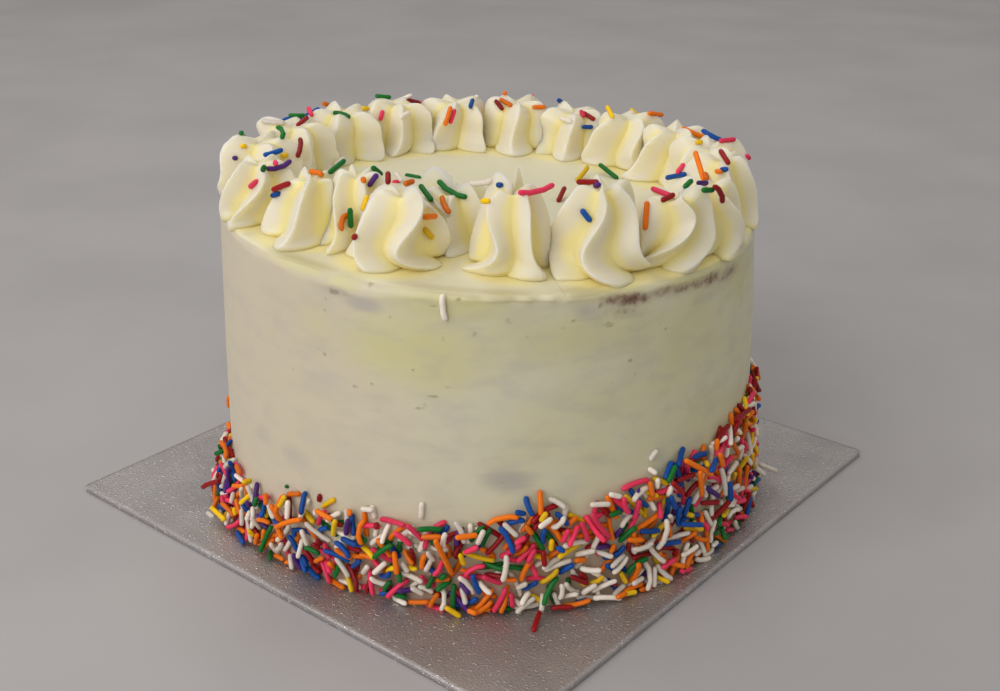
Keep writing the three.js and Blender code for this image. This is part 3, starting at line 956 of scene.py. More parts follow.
    def build(self, skin: Skin, carried: dict[str, np.ndarray]) -> bpy.types.Object:
        """Dresses the icing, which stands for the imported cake.

        Args:
            skin: The icing's skin.
            carried: The shares that its points carry.

        Returns:
            The piece.
        """
        piece = add_piece("icing_coat", skin, self.finish.material(), carried)
        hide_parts("iced_cake")
        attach(piece, ROOT)
        return piece


@dataclass(frozen=True)
class Fin:
    """One fin of a swirl, in degrees anticlockwise from the outward direction.

    Its edge runs through the four angles, from the crown down to the foot. Its foot reaches that
    many times as far as a plain one, and its crown rises by that part of the swirl's height.
    """

    crown: float
    high: float
    belly: float
    foot: float
    reach: float = 1.0
    rise: float = 0.0


@dataclass(frozen=True)
class Swirl:
    """One piped swirl: its angle round the cake, its distance from the axis, size and fins.

    Its top leans by so many millimetres outwards and anticlockwise. A swirl without fins of its
    own is one of the fuller, leafier ones that stand close together.
    """

    at: float
    ring: float
    radius: float
    height: float
    fins: tuple[Fin, ...] = ()
    lean: Pair = (0.0, 0.0)


@dataclass(frozen=True)
class SwirlRing:
    """The ring of swirls piped round the rim with a star nozzle."""

    swirls: tuple[Swirl, ...] = (
        Swirl(-158, 78, 13.0, 19, (
            Fin(-65, -68, -72, -80), Fin(22, 10, -5, -12), Fin(88, 74, 50, 33, 1.12),
            Fin(150, 140, 128, 112), Fin(218, 208, 196, 190),
        )),
        Swirl(-141.2, 70.3, 13.9, 20, (
            Fin(-34, -54, -44, -45, 1.0, -0.12), Fin(56, 44, 39, 27, 1.2, 0.07),
            Fin(126, 118, 130, 138, 1.0, -0.06), Fin(184, 182, 182, 184), Fin(250, 246, 244, 240),
        ), (1.0, 2.4)),
        Swirl(-129.5, 62.5, 12.4, 22, (
            Fin(-62, -60, -50, -30, 1.05), Fin(-4, 8, 18, 12, 1.15), Fin(62, 64, 66, 60, 1.1),
            Fin(120, 122, 124, 128), Fin(178, 180, 182, 184), Fin(238, 236, 240, 250),
        )),
        Swirl(-113.6, 68.6, 14.3, 22.2, (
            Fin(-112, -104, -100, -90), Fin(-49, -33, -26, -6), Fin(64, 45, 26, 68, 0.9, 0.1),
            Fin(118, 130, 125, 142, 1.0, -0.25), Fin(195, 190, 190, 195),
        ), (1.5, 3.6)),
        Swirl(-102, 48, 13.4, 17, (
            Fin(-86, -80, -70, -60, 1.1), Fin(8, 5, 4, 0, 1.13, -0.05), Fin(66, 70, 80, 90, 1.0, 0.15),
            Fin(125, 130, 135, 140, 1.0, 0.1), Fin(184, 184, 188, 192),
            Fin(250, 242, 234, 228, 1.1, 0.34),
        ), (0.0, -1.0)),
        Swirl(-84, 68.4, 11.5, 25.1, (
            Fin(-66, -46, -26, -79, 1.0, -0.04), Fin(40, 26, 24, 40, 1.07, -0.04), Fin(105, 98, 95, 100),
            Fin(160, 155, 155, 160, 1.0, 0.16), Fin(222, 225, 230, 230, 1.0, 0.1),
        ), (-0.2, -0.3)),
        Swirl(-63.3, 73.3, 14.0, 26.5, (
            Fin(-100, -109, -121, -89, 1.12, -0.03), Fin(-34, -37, -51, -13, 1.15, 0.03),
            Fin(17, 29, 25, 73, 1.05, 0.04), Fin(92, 94, 98, 125), Fin(170, 168, 165, 180),
        ), (0.3, 0.2)),
        Swirl(-45.4, 75.7, 14.0, 21.6, (
            Fin(-129, -98, -89, -81, 1.03, -0.07), Fin(-35, -17, -57, -98, 1.14, 0.02),
            Fin(45, 46, 24, -16, 0.98, 0.11), Fin(118, 112, 100, 80), Fin(185, 180, 175, 165),
        ), (4.2, 0.0)),
        Swirl(-31.5, 78.9, 13.7, 21.3, (
            Fin(-100, -84, -80, -90), Fin(-38, -1, 13, -12, 1.16, -0.02), Fin(50, 58, 60, 55),
            Fin(118, 122, 125, 122), Fin(190, 195, 200, 198),
        ), (0.4, 0.0)),
        Swirl(-10, 77, 13.6, 22, (
            Fin(-78, -68, -60, -72, 1.1), Fin(-15, -5, 2, -15, 1.1), Fin(50, 58, 62, 50),
            Fin(118, 122, 125, 120), Fin(190, 195, 200, 198),
        )),
        Swirl(8, 76, 14.8, 19.5),
        Swirl(27, 74.5, 15.2, 18.5),
        Swirl(46, 73, 15.4, 18),
        Swirl(64, 72, 15.6, 16.5),
        Swirl(82, 71.5, 15.6, 17.5),
        Swirl(101, 71.5, 15.6, 17),
        Swirl(120, 72, 15.6, 17.5),
        Swirl(139, 72.5, 15.4, 17),
        Swirl(159, 75, 15, 17),
        Swirl(180, 77, 14.6, 18),
    )
    fin_count: int = 5
    # No swirl reaches past this distance from the cake's axis, or past the place where it meets a
    # neighbour, less the clearance. Those that stand further off than this part of both radii are
    # no neighbours, and the power says how sharply a swirl is pressed at the limit.
    rim_limit: float = 91.5
    side_clearance: float = -1.1
    neighbourly: float = 1.25
    press_power: float = 6
    # The foot is raised by this, so that it sinks into the icing, and it spreads below this level.
    sink: float = -0.9
    foot_level: float = 0.16
    # How much the fins differ in width, and how ragged their edges are.
    waver: float = 0.12
    tear: float = 0.016
    rows: int = 64
    columns: int = 216
    # The rings end this far along the two paths, counted in points.
    last_step: float = 10.9
    # How far the groove between two fins lies on from the first.
    skew: float = 0.56
    # A swirl with fins of its own is wider behind and crisper, and a plain one fuller and leafier.
    widening: float = 0.2
    fullness: float = 0.34
    crisp_lobes: float = -0.25
    leafy_lobes: float = 0.2
    # The levels at which a fin's four angles are given, from crown to foot.
    fin_levels: tuple[float, float, float, float] = (0.93, 0.6, 0.32, 0.04)
    # Outlines as parts of the swirl's radius and height, along a ridge and along a groove.
    ridge_path: tuple[Pair, ...] = (
        (0.5, 0), (0.98, 0), (1.11, 0.02), (1.15, 0.09), (1.11, 0.24), (1.02, 0.42),
        (0.9, 0.6), (0.76, 0.77), (0.6, 0.91), (0.43, 1.0), (0.22, 0.97), (0, 0.88),
    )
    groove_path: tuple[Pair, ...] = (
        (0.3, 0), (0.5, 0), (0.62, 0.03), (0.65, 0.08), (0.63, 0.21), (0.59, 0.37),
        (0.53, 0.53), (0.46, 0.68), (0.37, 0.81), (0.27, 0.9), (0.13, 0.9), (0, 0.88),
    )
    finish: PipedCream = field(default_factory=PipedCream)

    def _fins(self, index: int) -> tuple[Fin, ...]:
        """Finds a swirl's fins.

        Args:
            index: Which swirl.

        Returns:
            Its own fins, or evenly spaced ones that waver and curl a little.
        """
        if self.swirls[index].fins:
            return self.swirls[index].fins
        seed, made = index + 1, []
        for j in range(self.fin_count):
            middle = 360 * (chance(seed, 49) + j) / self.fin_count + 20 * (chance(seed, 50 + j) - 0.5)
            lean, curl = 24 * chance(seed, 60 + j) - 4, 50 * (chance(seed, 70 + j) - 0.5)
            made.append(Fin(
                middle + lean, middle, middle - 0.6 * lean, middle - 0.6 * lean + curl,
                1.0 + 0.12 * chance(seed, 80 + j), 0.12 * (chance(seed, 90 + j) - 0.5),
            ))
        return tuple(made)

    def _axis(self, index: int) -> np.ndarray:
        """Returns the place of a swirl's own axis on the ring's plane."""
        at = math.radians(self.swirls[index].at)
        return self.swirls[index].ring * np.array([math.cos(at), math.sin(at)])

    def _squeezed(self, index: int, spots: np.ndarray) -> np.ndarray:
        """Presses points smoothly inside the rim and against the neighbours that stand close.

        Args:
            index: Which swirl.
            spots: Points on the ring's plane, from the swirl's own axis.

        Returns:
            The points: along the way to each neighbour, none passes the place where both touch.
        """
        swirl, axis = self.swirls[index], self._axis(index)
        walls = [(axis / np.linalg.norm(axis), self.rim_limit - swirl.ring)]
        for other, neighbour in enumerate(self.swirls):
            way = self._axis(other) - axis
            apart = float(np.linalg.norm(way))
            if 0 < apart < self.neighbourly * (swirl.radius + neighbour.radius):
                share = swirl.radius / (swirl.radius + neighbour.radius)
                walls.append((way / apart, apart * share - self.side_clearance))
        for way, limit in walls:
            along = spots @ way
            held = np.where(along > 0, pressed(along, limit, self.press_power), along)
            spots = spots + (held - along)[..., None] * way
        return spots

    def _spread(self, count: int) -> tuple[np.ndarray, np.ndarray]:
        """Spreads a ring's points over the fins, closer together near each fin's edge.

        Args:
            count: How many fins there are.

        Returns:
            For each point, the fin before it, and how far on it lies to the next fin, 0 to 1.
        """
        per_fin = self.columns // count
        even = (np.arange(per_fin) / per_fin + 0.5) % 1.0
        first, second = 2 ** 0.4 * even ** 1.4, 1 - 2 ** 0.4 * (1 - even) ** 1.4
        part = np.sort(np.where(even < 0.5, first, second))
        return np.repeat(np.arange(count), per_fin), np.tile(part, count)

    def _outline(
        self,
        part: np.ndarray,
        step: np.ndarray,
        lobes: float,
    ) -> tuple[np.ndarray, np.ndarray, np.ndarray, np.ndarray]:
        """Works out the outline: the ridge path at a fin's edge, the groove path between fins.

        The ridge share is 0.6 of the cube and 0.4 of the plain share of how near a point is to its
        fin. It turns into 1 less a power of how far it is, in part for the lobes and wholly near
        the foot.

        Args:
            part: How far on each point lies from the fin before it to the next.
            step: How far along the paths each ring lies.
            lobes: How much of the rounder share is mixed in.

        Returns:
            The distance from the axis in radii, the level and the ridge share of each point, and
            the height of each ring's ridge.
        """
        off = np.where(part < self.skew, part / self.skew, (1 - part) / (1 - self.skew))
        off = np.clip(np.sqrt(off**2 + 0.003) - 0.055, 0, 1)
        ridge_line = spline(np.array(self.ridge_path), step)[:, None, :]
        groove_line = spline(np.array(self.groove_path), step)[:, None, :]
        low = np.exp(-((ridge_line[..., 1] / 0.13) ** 2))
        crisp = 0.6 * (1 - off) ** 3.0 + 0.4 * (1 - off)
        crisp = crisp + (1 - off**1.25 - crisp) * lobes
        ridge = crisp + (1 - off**1.4 - crisp) * low
        q, level = np.moveaxis(groove_line + (ridge_line - groove_line) * ridge[..., None], -1, 0)
        return q, level, ridge, ridge_line[:, :, 1]

    def _edges(self, fins: tuple[Fin, ...], height: np.ndarray) -> np.ndarray:
        """Works out where each fin's edge lies at each ring.

        The angle is the cubic through the fin's four: each of them times the product, over the
        other three levels, of (height - other) / (own - other).

        Args:
            fins: The fins.
            height: The height of each ring's ridge.

        Returns:
            The angle in degrees, by ring and fin.
        """
        knots = np.array(self.fin_levels)
        clamped = np.clip(height, 0.02, 0.97)
        shares = [
            np.prod([(clamped - o) / (k - o) for o in knots if o != k], axis=0) for k in knots
        ]
        given = np.array([(f.crown, f.high, f.belly, f.foot) for f in fins])
        return sum(share * given[:, k] for k, share in enumerate(shares))

    def surface(self, index: int) -> tuple[np.ndarray, np.ndarray, np.ndarray]:
        """Works out a swirl as rings from its foot to the middle of its top.

        Each fin's edge turns as it rises, its foot reaches further and its crown rises. The whole
        is pressed inside the rim and against its neighbours.

        Args:
            index: Which swirl.

        Returns:
            The points in the cake's frame, the ridge share and the level of each.
        """
        swirl, fins, seed = self.swirls[index], self._fins(index), index + 1
        fin, part = self._spread(len(fins))
        step = np.linspace(0.0, self.last_step, self.rows)
        lobes = self.crisp_lobes if swirl.fins else self.leafy_lobes
        q, level, ridge, height = self._outline(part, step, lobes)
        edges = self._edges(fins, height)
        following = np.concatenate([edges[:, 1:], edges[:, :1] + 360], axis=1)
        angle = edges[:, fin] + (following - edges)[:, fin] * part

        def along(values: list[float]) -> np.ndarray:
            """Returns a number that runs evenly from each fin's own value to the next fin's."""
            own = np.array(values)
            return own[fin] + (np.roll(own, -1)[fin] - own[fin]) * part

        foot = np.exp(-((level / self.foot_level) ** 2))
        reach = (along([f.reach for f in fins]) - 1) * foot * ridge
        waver = along([self.waver * (chance(seed, 30 + j) - 0.5) for j in range(len(fins))])
        tear = self.tear * unevenness(step[:, None] * 3.1, (fin + part) * 9 + 17 * seed, seed)
        tear = tear * ridge**3 * (0.35 + 1.4 * smooth(level, 0.6, 0.95))
        behind = np.abs(np.mod(angle + 180, 360) - 180)
        if swirl.fins:
            wide = self.widening * smooth(behind, 60, 105)
        else:
            wide = self.fullness * smooth(level, 0.35, 0.95)
        q = q * (1 + reach + tear + wide + waver * (1 - foot))
        rise = along([f.rise for f in fins]) * smooth(level, 0.3, 1.0) * ridge
        turned = np.radians(angle + swirl.at)
        spots = swirl.radius * q[..., None] * np.stack([np.cos(turned), np.sin(turned)], axis=-1)
        out = self._axis(index) / swirl.ring
        leaning = swirl.lean[0] * out + swirl.lean[1] * np.array([-out[1], out[0]])
        spots = self._squeezed(index, spots + level[..., None] * leaning) + self._axis(index)
        z = (level + rise) * swirl.height + self.sink * (1 - smooth(level, 0.0, 0.04))
        return np.concatenate([spots, z[..., None]], axis=-1), ridge + 0 * level, level

    def _seated(self, points: np.ndarray, cake: IcedCake) -> np.ndarray:
        """Sets points on the cake's top.

        Args:
            points: Points over the ring's own plane.
            cake: The cake, whose top leans.

        Returns:
            The points, tilted with the top and raised to it.
        """
        tilt = math.atan(cake.lean)
        x, y, z = np.moveaxis(points, -1, 0)
        high = cake.height + 0.3 - x * math.sin(tilt) + z * math.cos(tilt)
        return np.stack([x * math.cos(tilt) + z * math.sin(tilt), y, high], axis=-1)

    def feet(self) -> np.ndarray:
        """Returns the place across, the place back and the radius of each swirl."""
        return np.array([(*self._axis(i), swirl.radius) for i, swirl in enumerate(self.swirls)])

    def skins(self, cake: IcedCake) -> list[tuple[Skin, dict[str, np.ndarray]]]:
        """Works out every swirl.

        Args:
            cake: The cake that they stand on.

        Returns:
            Each swirl's skin, with the ridge share and the level that its points carry.
        """
        made = []
        for index in range(len(self.swirls)):
            points, ridge, level = self.surface(index)
            carried = {"ridge": with_poles(ridge), "level": with_poles(level)}
            made.append((closed_rings(self._seated(points, cake)), carried))
        return made

    def build(self, skins: list[tuple[Skin, dict[str, np.ndarray]]]) -> list[bpy.types.Object]:
        """Dresses every swirl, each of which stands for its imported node.

        Args:
            skins: Each swirl's skin and what its points carry.

        Returns:
            The pieces.
        """
        material = self.finish.material()
        pieces = []
        for index, (skin, carried) in enumerate(skins):
            piece = add_piece(f"piped_swirl_{index + 1:02d}", skin, material, carried)
            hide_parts(f"swirl_{index + 1:02d}")
            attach(piece, ROOT)
            pieces.append(piece)
        return pieces


@dataclass(frozen=True)
class FoilCard:
    """The thin square card that the cake stands on, in millimetres.

    Inside its edge the top dips by two slow waves.
    """

    side: float = 203.2
    thick: float = 2.3
    corner: float = 1.5
    soft: float = 0.25
    waves: Pair = (0.12, 0.05)
    finish: CardFoil = field(default_factory=CardFoil)

    def _outline(self) -> np.ndarray:
        """Works out the card's outline, a square with rounded corners.

        Returns:
            Its points, anticlockwise, seven round each corner and 39 along each side.
        """
        half = self.side / 2 - self.corner
        quarter = np.radians(np.linspace(0, 90, 7))
        along = np.linspace(0, 1, 41)[1:-1]

        def corner_middle(at: float) -> np.ndarray:
            """Returns the middle of the rounding of the corner that lies at an angle."""
            return math.sqrt(2) * half * np.array([math.cos(at), math.sin(at)])

        spots = []
        for turn in range(4):
            start = turn * math.pi / 2
            arc = self.corner * np.stack([np.cos(start + quarter), np.sin(start + quarter)], axis=-1)
            centre = corner_middle(start + math.pi / 4)
            here = centre + arc[-1]
            there = corner_middle(start + 3 * math.pi / 4) + arc[-1]
            spots += [centre + arc, here + (there - here) * along[:, None]]
        return np.concatenate(spots)

    def skin(self, stand: CakeFrame) -> Skin:
        """Works out the card as rings of its outline, up its edge and inwards.

        Args:
            stand: Where the cake stands on the card, which the skin is turned back by.

        Returns:
            The skin, in the cake's frame.
        """
        outline = self._outline()
        size, soft, thick = self.side / 2, self.soft, self.thick
        rings = [(size - soft, 0.0), (size, soft), (size, thick - soft), (size - soft, thick)]
        rings += [(size * share, thick) for share in np.linspace(0.985, 0.02, 40)]
        stacked = np.stack([
            np.concatenate([outline * r / size, np.full((len(outline), 1), z)], axis=-1)
            for r, z in rings
        ])
        x, y, z = np.moveaxis(stacked, -1, 0)
        inside = smooth(size - np.maximum(np.abs(x), np.abs(y)), 0.0, 6.0) * (z > self.thick - 0.01)
        wavy = self.waves[0] * unevenness(x / 31, y / 31, 21)
        wavy = wavy + self.waves[1] * unevenness(x / 9, y / 9, 22)
        stacked[..., 2] = z + inside * (wavy - self.waves[0])
        points, sides, fans = closed_rings(stacked)
        back = math.radians(-stand.turn)
        moved = points - np.array([stand.x, stand.y, stand.z])
        cos, sin = math.cos(back), math.sin(back)
        turned = np.array([[cos, sin, 0.0], [-sin, cos, 0.0], [0.0, 0.0, 1.0]])
        return moved @ turned, sides, fans

    def build(self, skin: Skin) -> bpy.types.Object:
        """Dresses the card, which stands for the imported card.

        Args:
            skin: The card's skin.

        Returns:
            The piece.
        """
        piece = add_piece("foil_card", skin, self.finish.material())
        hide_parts("cake_card")
        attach(piece, ROOT)
        return piece


@dataclass(frozen=True)
class Studio:
    """The camera at the photo's angle, a pale floor and soft light from the left.

    The camera's place is in the cake's frame, and its elevation and roll are in degrees.
    """

    lens: float = 47.86
    sensor: float = 36.0
    camera: Point3 = (4.45, -434.1, 237.4)
    elevation: float = 23.64
    roll: float = 0.17
    pixels: tuple[int, int] = (1000, 691)
    # Half the floor's width and how far it lies below the cake's foot, in millimetres.
    floor_reach: float = 3000.0
    floor_drop: float = 2.62
    floor_colours: tuple[Colour3, Colour3] = ((0.43, 0.417, 0.414), (0.39, 0.378, 0.378))
    # The sky is weaker where it stands behind the cake.
    sky_colour: Colour3 = (1.0, 0.97, 0.95)
    sky_strength: float = 0.5
    sky_strength_behind: float = 0.24
    # Each lamp's name, place in metres in the cake's own directions, side, watts and tint.
    lamps: tuple[tuple[str, Point3, float, float, Colour3], ...] = (
        ("window", (-0.80, -0.85, 0.80), 1.2, 11.0, (1.0, 0.96, 0.98)),
        ("ceiling", (-0.2, 0.6, 1.4), 1.2, 5.0, (1.0, 0.97, 0.93)),
    )

    @property
    def depth(self) -> float:
        """Returns the lens's focal length, in pixels of the photo."""
        return self.lens / self.sensor * self.pixels[0]

    def rotation(self, turn: float) -> Euler:
        """Returns the camera's rotation, in a frame that the cake's is turned in by so many degrees."""
        return Euler((math.radians(90 - self.elevation), math.radians(self.roll), math.radians(turn)))

    def build(self) -> None:
        """Adds the camera, the floor, the lamps and the sky."""
        scene = bpy.context.scene
        lens = bpy.data.cameras.new("photo camera")
        lens.lens = self.lens
        lens.sensor_width = self.sensor
        camera = bpy.data.objects.new("photo camera", lens)
        camera.location = Vector(CAKE_FRAME.to_row(np.array(self.camera)))
        camera.rotation_euler = self.rotation(CAKE_FRAME.turn)
        scene.collection.objects.link(camera)
        scene.camera = camera
        self._floor()
        for lamp in self.lamps:
            self._lamp(*lamp)
        scene.world = self._sky()
        scene.view_settings.view_transform = "Standard"

    def _sky(self) -> bpy.types.World:
        """Makes an even sky that is dimmer behind the cake, as in front of a dark wall.

        Its strength changes by a smooth step of how far a way points to the back, from 0.2 to 0.9.

        Returns:
            The world.
        """
        world = bpy.data.worlds.new("studio")
        world.use_nodes = True
        nodes = Nodes(world.node_tree)
        turn = math.radians(CAKE_FRAME.turn)
        behind = nodes.add(
            "ShaderNodeVectorMath",
            {"operation": "DOT_PRODUCT"},
            {
                0: nodes.add("ShaderNodeTexCoord", output="Generated"),
                1: (-math.sin(turn), math.cos(turn), 0.0),
            },
            "Value",
        )
        strength = nodes.add(
            "ShaderNodeMapRange",
            {"interpolation_type": "SMOOTHSTEP"},
            {
                "Value": behind,
                "From Min": 0.2,
                "From Max": 0.9,
                "To Min": self.sky_strength,
                "To Max": self.sky_strength_behind,
            },
        )
        sky = nodes.tree.nodes["Background"]
        nodes.feed(sky.inputs["Color"], (*self.sky_colour, 1.0))
        nodes.feed(sky.inputs["Strength"], strength)
        return world

    def _floor(self) -> None:
        """Adds a wide pale floor under the card."""
        signs = np.array([[-1, -1], [1, -1], [1, 1], [-1, 1]])
        corners = np.hstack([self.floor_reach * signs, np.full((4, 1), -self.floor_drop)])
        shader = Shader("pale worktop")
        cloud = shader.noise(shader.place(), 120.0, 3.0)
        colour = shader.mix(cloud.step(0.3, 0.7), *self.floor_colours)
        material = shader.finish(Base_Color=colour, Roughness=0.6)
        skin = (corners, np.array([[0, 1, 2, 3]]), np.zeros((0, 3), int))
        add_piece("worktop", skin, material)

    def _lamp(self, name: str, place: Point3, size: float, power: float, tint: Colour3) -> None:
        """Adds a soft square lamp that faces the cake.

        Args:
            name: Its name.
            place: Where it stands, in metres, in the cake's own directions.
            size: Its side in metres.
            power: Its power in watts.
            tint: Its colour.
        """
        light = bpy.data.lights.new(name, "AREA")
        light.size = size
        light.energy = power
        light.color = tint
        lamp = bpy.data.objects.new(name, light)
        lamp.location = Vector(CAKE_FRAME.to_row(np.array(place) / MM))
        aim = Vector(CAKE_FRAME.to_row(np.array([0.0, 0.0, 70.0]))) - lamp.location
        lamp.rotation_euler = aim.to_track_quat("-Z", "Y").to_euler()
        bpy.context.scene.collection.objects.link(lamp)

    def ray(self, across: float, down: float) -> tuple[np.ndarray, np.ndarray]:
        """Sends a ray out through a pixel of the photo.

        Args:
            across: The pixel's place from the left.
            down: The pixel's place from the top.

        Returns:
            The camera's place and the ray's direction, both in the cake's frame.
        """
        wide, high = self.pixels
        seen = Vector(((across - wide / 2) / self.depth, -(down - high / 2) / self.depth, -1.0))
        seen.rotate(self.rotation(0.0))
        seen.normalize()
        return np.array(self.camera), np.array(seen)


@dataclass
class RodPile:
    """Sugar rods, each a flat arc: its middle, half its length as a vector, and its bend.

    A point of a rod at share u, from -1 to 1, is middle + u * half + (1 - u * u) * bend.
    """

    radius: float = 0.88
    sides: int = 7
    # Two beads count as touching at this part of their two radii.
    touching: float = 0.9
    marks: np.ndarray = field(default_factory=lambda: np.linspace(-0.9, 0.9, 7))
    rods: list[tuple[Sugar, np.ndarray, float]] = field(default_factory=list)
    beads: np.ndarray = field(default_factory=lambda: np.zeros((0, 3)))

    def arc(self, rod: np.ndarray, share: np.ndarray) -> np.ndarray:
        """Returns points of one rod, or of many, at the given shares of its half length."""
        middle, half, bend = rod[..., 0, None, :], rod[..., 1, None, :], rod[..., 2, None, :]
        return middle + share[:, None] * half + (1 - share[:, None] ** 2) * bend

    def add(self, colour: Sugar, rod: np.ndarray, thick: float = 1.0) -> None:
        """Keeps a rod and the beads along it that later rods come to rest on."""
        self.rods.append((colour, rod, thick))
        self.beads = np.concatenate([self.beads, self.arc(rod, self.marks)])

    def room(self, points: np.ndarray, way: np.ndarray, reach: float) -> np.ndarray:
        """Works out how far each point may travel before its bead meets a bead that is there.

        Args:
            points: Bead centres, in millimetres.
            way: The unit direction of travel, or one for each point.
            reach: The distance that counts as no obstacle.

        Returns:
            For each point, the least of: distance along the way to a bead, less the half chord
            that a gap of two radii leaves beside it.
        """
        middle = points.mean(axis=0)
        close = self.beads[np.linalg.norm(self.beads - middle, axis=1) < reach]
        if not len(close):
            return np.full(len(points), np.inf)
        gap = close[None, :, :] - points[:, None, :]
        ways = np.broadcast_to(way, points.shape)
        along = np.einsum("pbi,pi->pb", gap, ways)
        beside = np.einsum("pbi,pbi->pb", gap, gap) - along**2
        apart = (2 * self.radius * self.touching) ** 2
        meet = along - np.sqrt(np.clip(apart - beside, 0, None))
        return np.where(beside < apart, meet, np.inf).min(axis=1)

    @staticmethod
    def rested(share: np.ndarray, room: np.ndarray, steepest: float) -> np.ndarray:
        """Finds how a straight rod comes to rest on what stops it.

        Args:
            share: Where along the rod each stop is, from -1 to 1.
            room: How far the rod may travel there.
            steepest: The greatest change of travel along half the rod.

        Returns:
            The travel at each share: the line through two stops that passes none of the others
            and lets the rod go furthest.
        """
        i, j = np.triu_indices(len(share), 1)
        slope = np.clip((room[j] - room[i]) / (share[j] - share[i]), -steepest, steepest)
        slope = np.concatenate([slope, [0.0]])
        lines = slope[:, None] * share
        lines = lines + (room - lines).min(axis=1)[:, None]
        return lines[np.argmax(lines.mean(axis=1))]

    def build(self) -> list[bpy.types.Object]:
        """Builds one piece for each colour that was laid."""
        return [self._piece(colour) for colour in Sugar if any(r[0] is colour for r in self.rods)]

    def _tubes(self, rods: np.ndarray, thick: np.ndarray) -> Skin:
        """Works out rods as tubes with round ends.

        Each has eight rings: three over each end, of which the innermost is the first of full
        girth, and two nearer its middle. A ring's points lie in the plane across the rod's way, at
        the ring's girth times the rod's radius. The tips lie 0.02 mm beyond the last rings.

        Args:
            rods: The rods, each its middle, half and bend.
            thick: How many times as thick as a plain rod each of them is.

        Returns:
            The skin of them all, rod after rod.
        """
        length = np.linalg.norm(rods[:, 1], axis=1)
        cap = np.minimum(self.radius * thick / length, 0.9)[:, None]
        inner = np.minimum(0.4, 0.7 * (1 - cap))
        share = np.concatenate([
            -1 + 0.03 * cap, -1 + 0.35 * cap, -1 + cap, -inner,
            inner, 1 - cap, 1 - 0.35 * cap, 1 - 0.03 * cap,
        ], axis=1)[..., None]
        girth = np.array([0.24, 0.76, 1.0, 1.0, 1.0, 1.0, 0.76, 0.24])
        half, bend = rods[:, None, 1, :], rods[:, None, 2, :]
        centres = rods[:, None, 0, :] + share * half + (1 - share**2) * bend
        ahead = half - 2 * share * bend
        ahead = ahead / np.linalg.norm(ahead, axis=-1, keepdims=True)
        steep = np.abs(half[..., 2:]) > 0.8 * length[:, None, None]
        side = np.cross(np.where(steep, [[[1.0, 0, 0]]], [[[0, 0, 1.0]]]), ahead)
        side = side / np.linalg.norm(side, axis=-1, keepdims=True)
        other = np.cross(ahead, side)
        turn = (2 * math.pi * np.arange(self.sides) / self.sides)[:, None]
        wide = (self.radius * thick)[:, None, None, None] * girth[None, :, None, None]
        across = np.cos(turn) * side[:, :, None, :] + np.sin(turn) * other[:, :, None, :]
        rings = centres[:, :, None, :] + wide * across
        ends = [centres[:, 0] - ahead[:, 0] * 0.02, centres[:, -1] + ahead[:, -1] * 0.02]
        points = np.concatenate([rings.reshape(len(rods), -1, 3), np.stack(ends, axis=1)], axis=1)
        _, quads, fans = closed_rings(rings[0])
        offset = np.arange(len(rods))[:, None, None] * points.shape[1]
        return (
            points.reshape(-1, 3),
            (quads[None] + offset).reshape(-1, 4),
            (fans[None] + offset).reshape(-1, 3),
        )

    def _piece(self, colour: Sugar) -> bpy.types.Object:
        """Builds all the rods of one colour as one mesh.

        Args:
            colour: The colour.

        Returns:
            The piece, in which each rod carries a tint of its own.
        """
        rods = np.array([r[1] for r in self.rods if r[0] is colour])
        thick = np.array([r[2] for r in self.rods if r[0] is colour])
        skin = self._tubes(rods, thick)
        tints = [0.15 + 0.7 * chance(i, 77) for i in range(len(rods))]
        tint = np.repeat(tints, len(skin[0]) // len(rods))
        name = colour.name.lower()
        piece = add_piece(f"{name}_sprinkles", skin, colour.value.material(name), {"tint": tint})
        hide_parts("iced_cake")
        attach(piece, ROOT)
        return piece


# Short names of the colours, for the tables.
W, O, P, R = Sugar.WHITE, Sugar.ORANGE, Sugar.PINK, Sugar.RED
B, G, Y, V = Sugar.BLUE, Sugar.GREEN, Sugar.YELLOW, Sugar.PURPLE

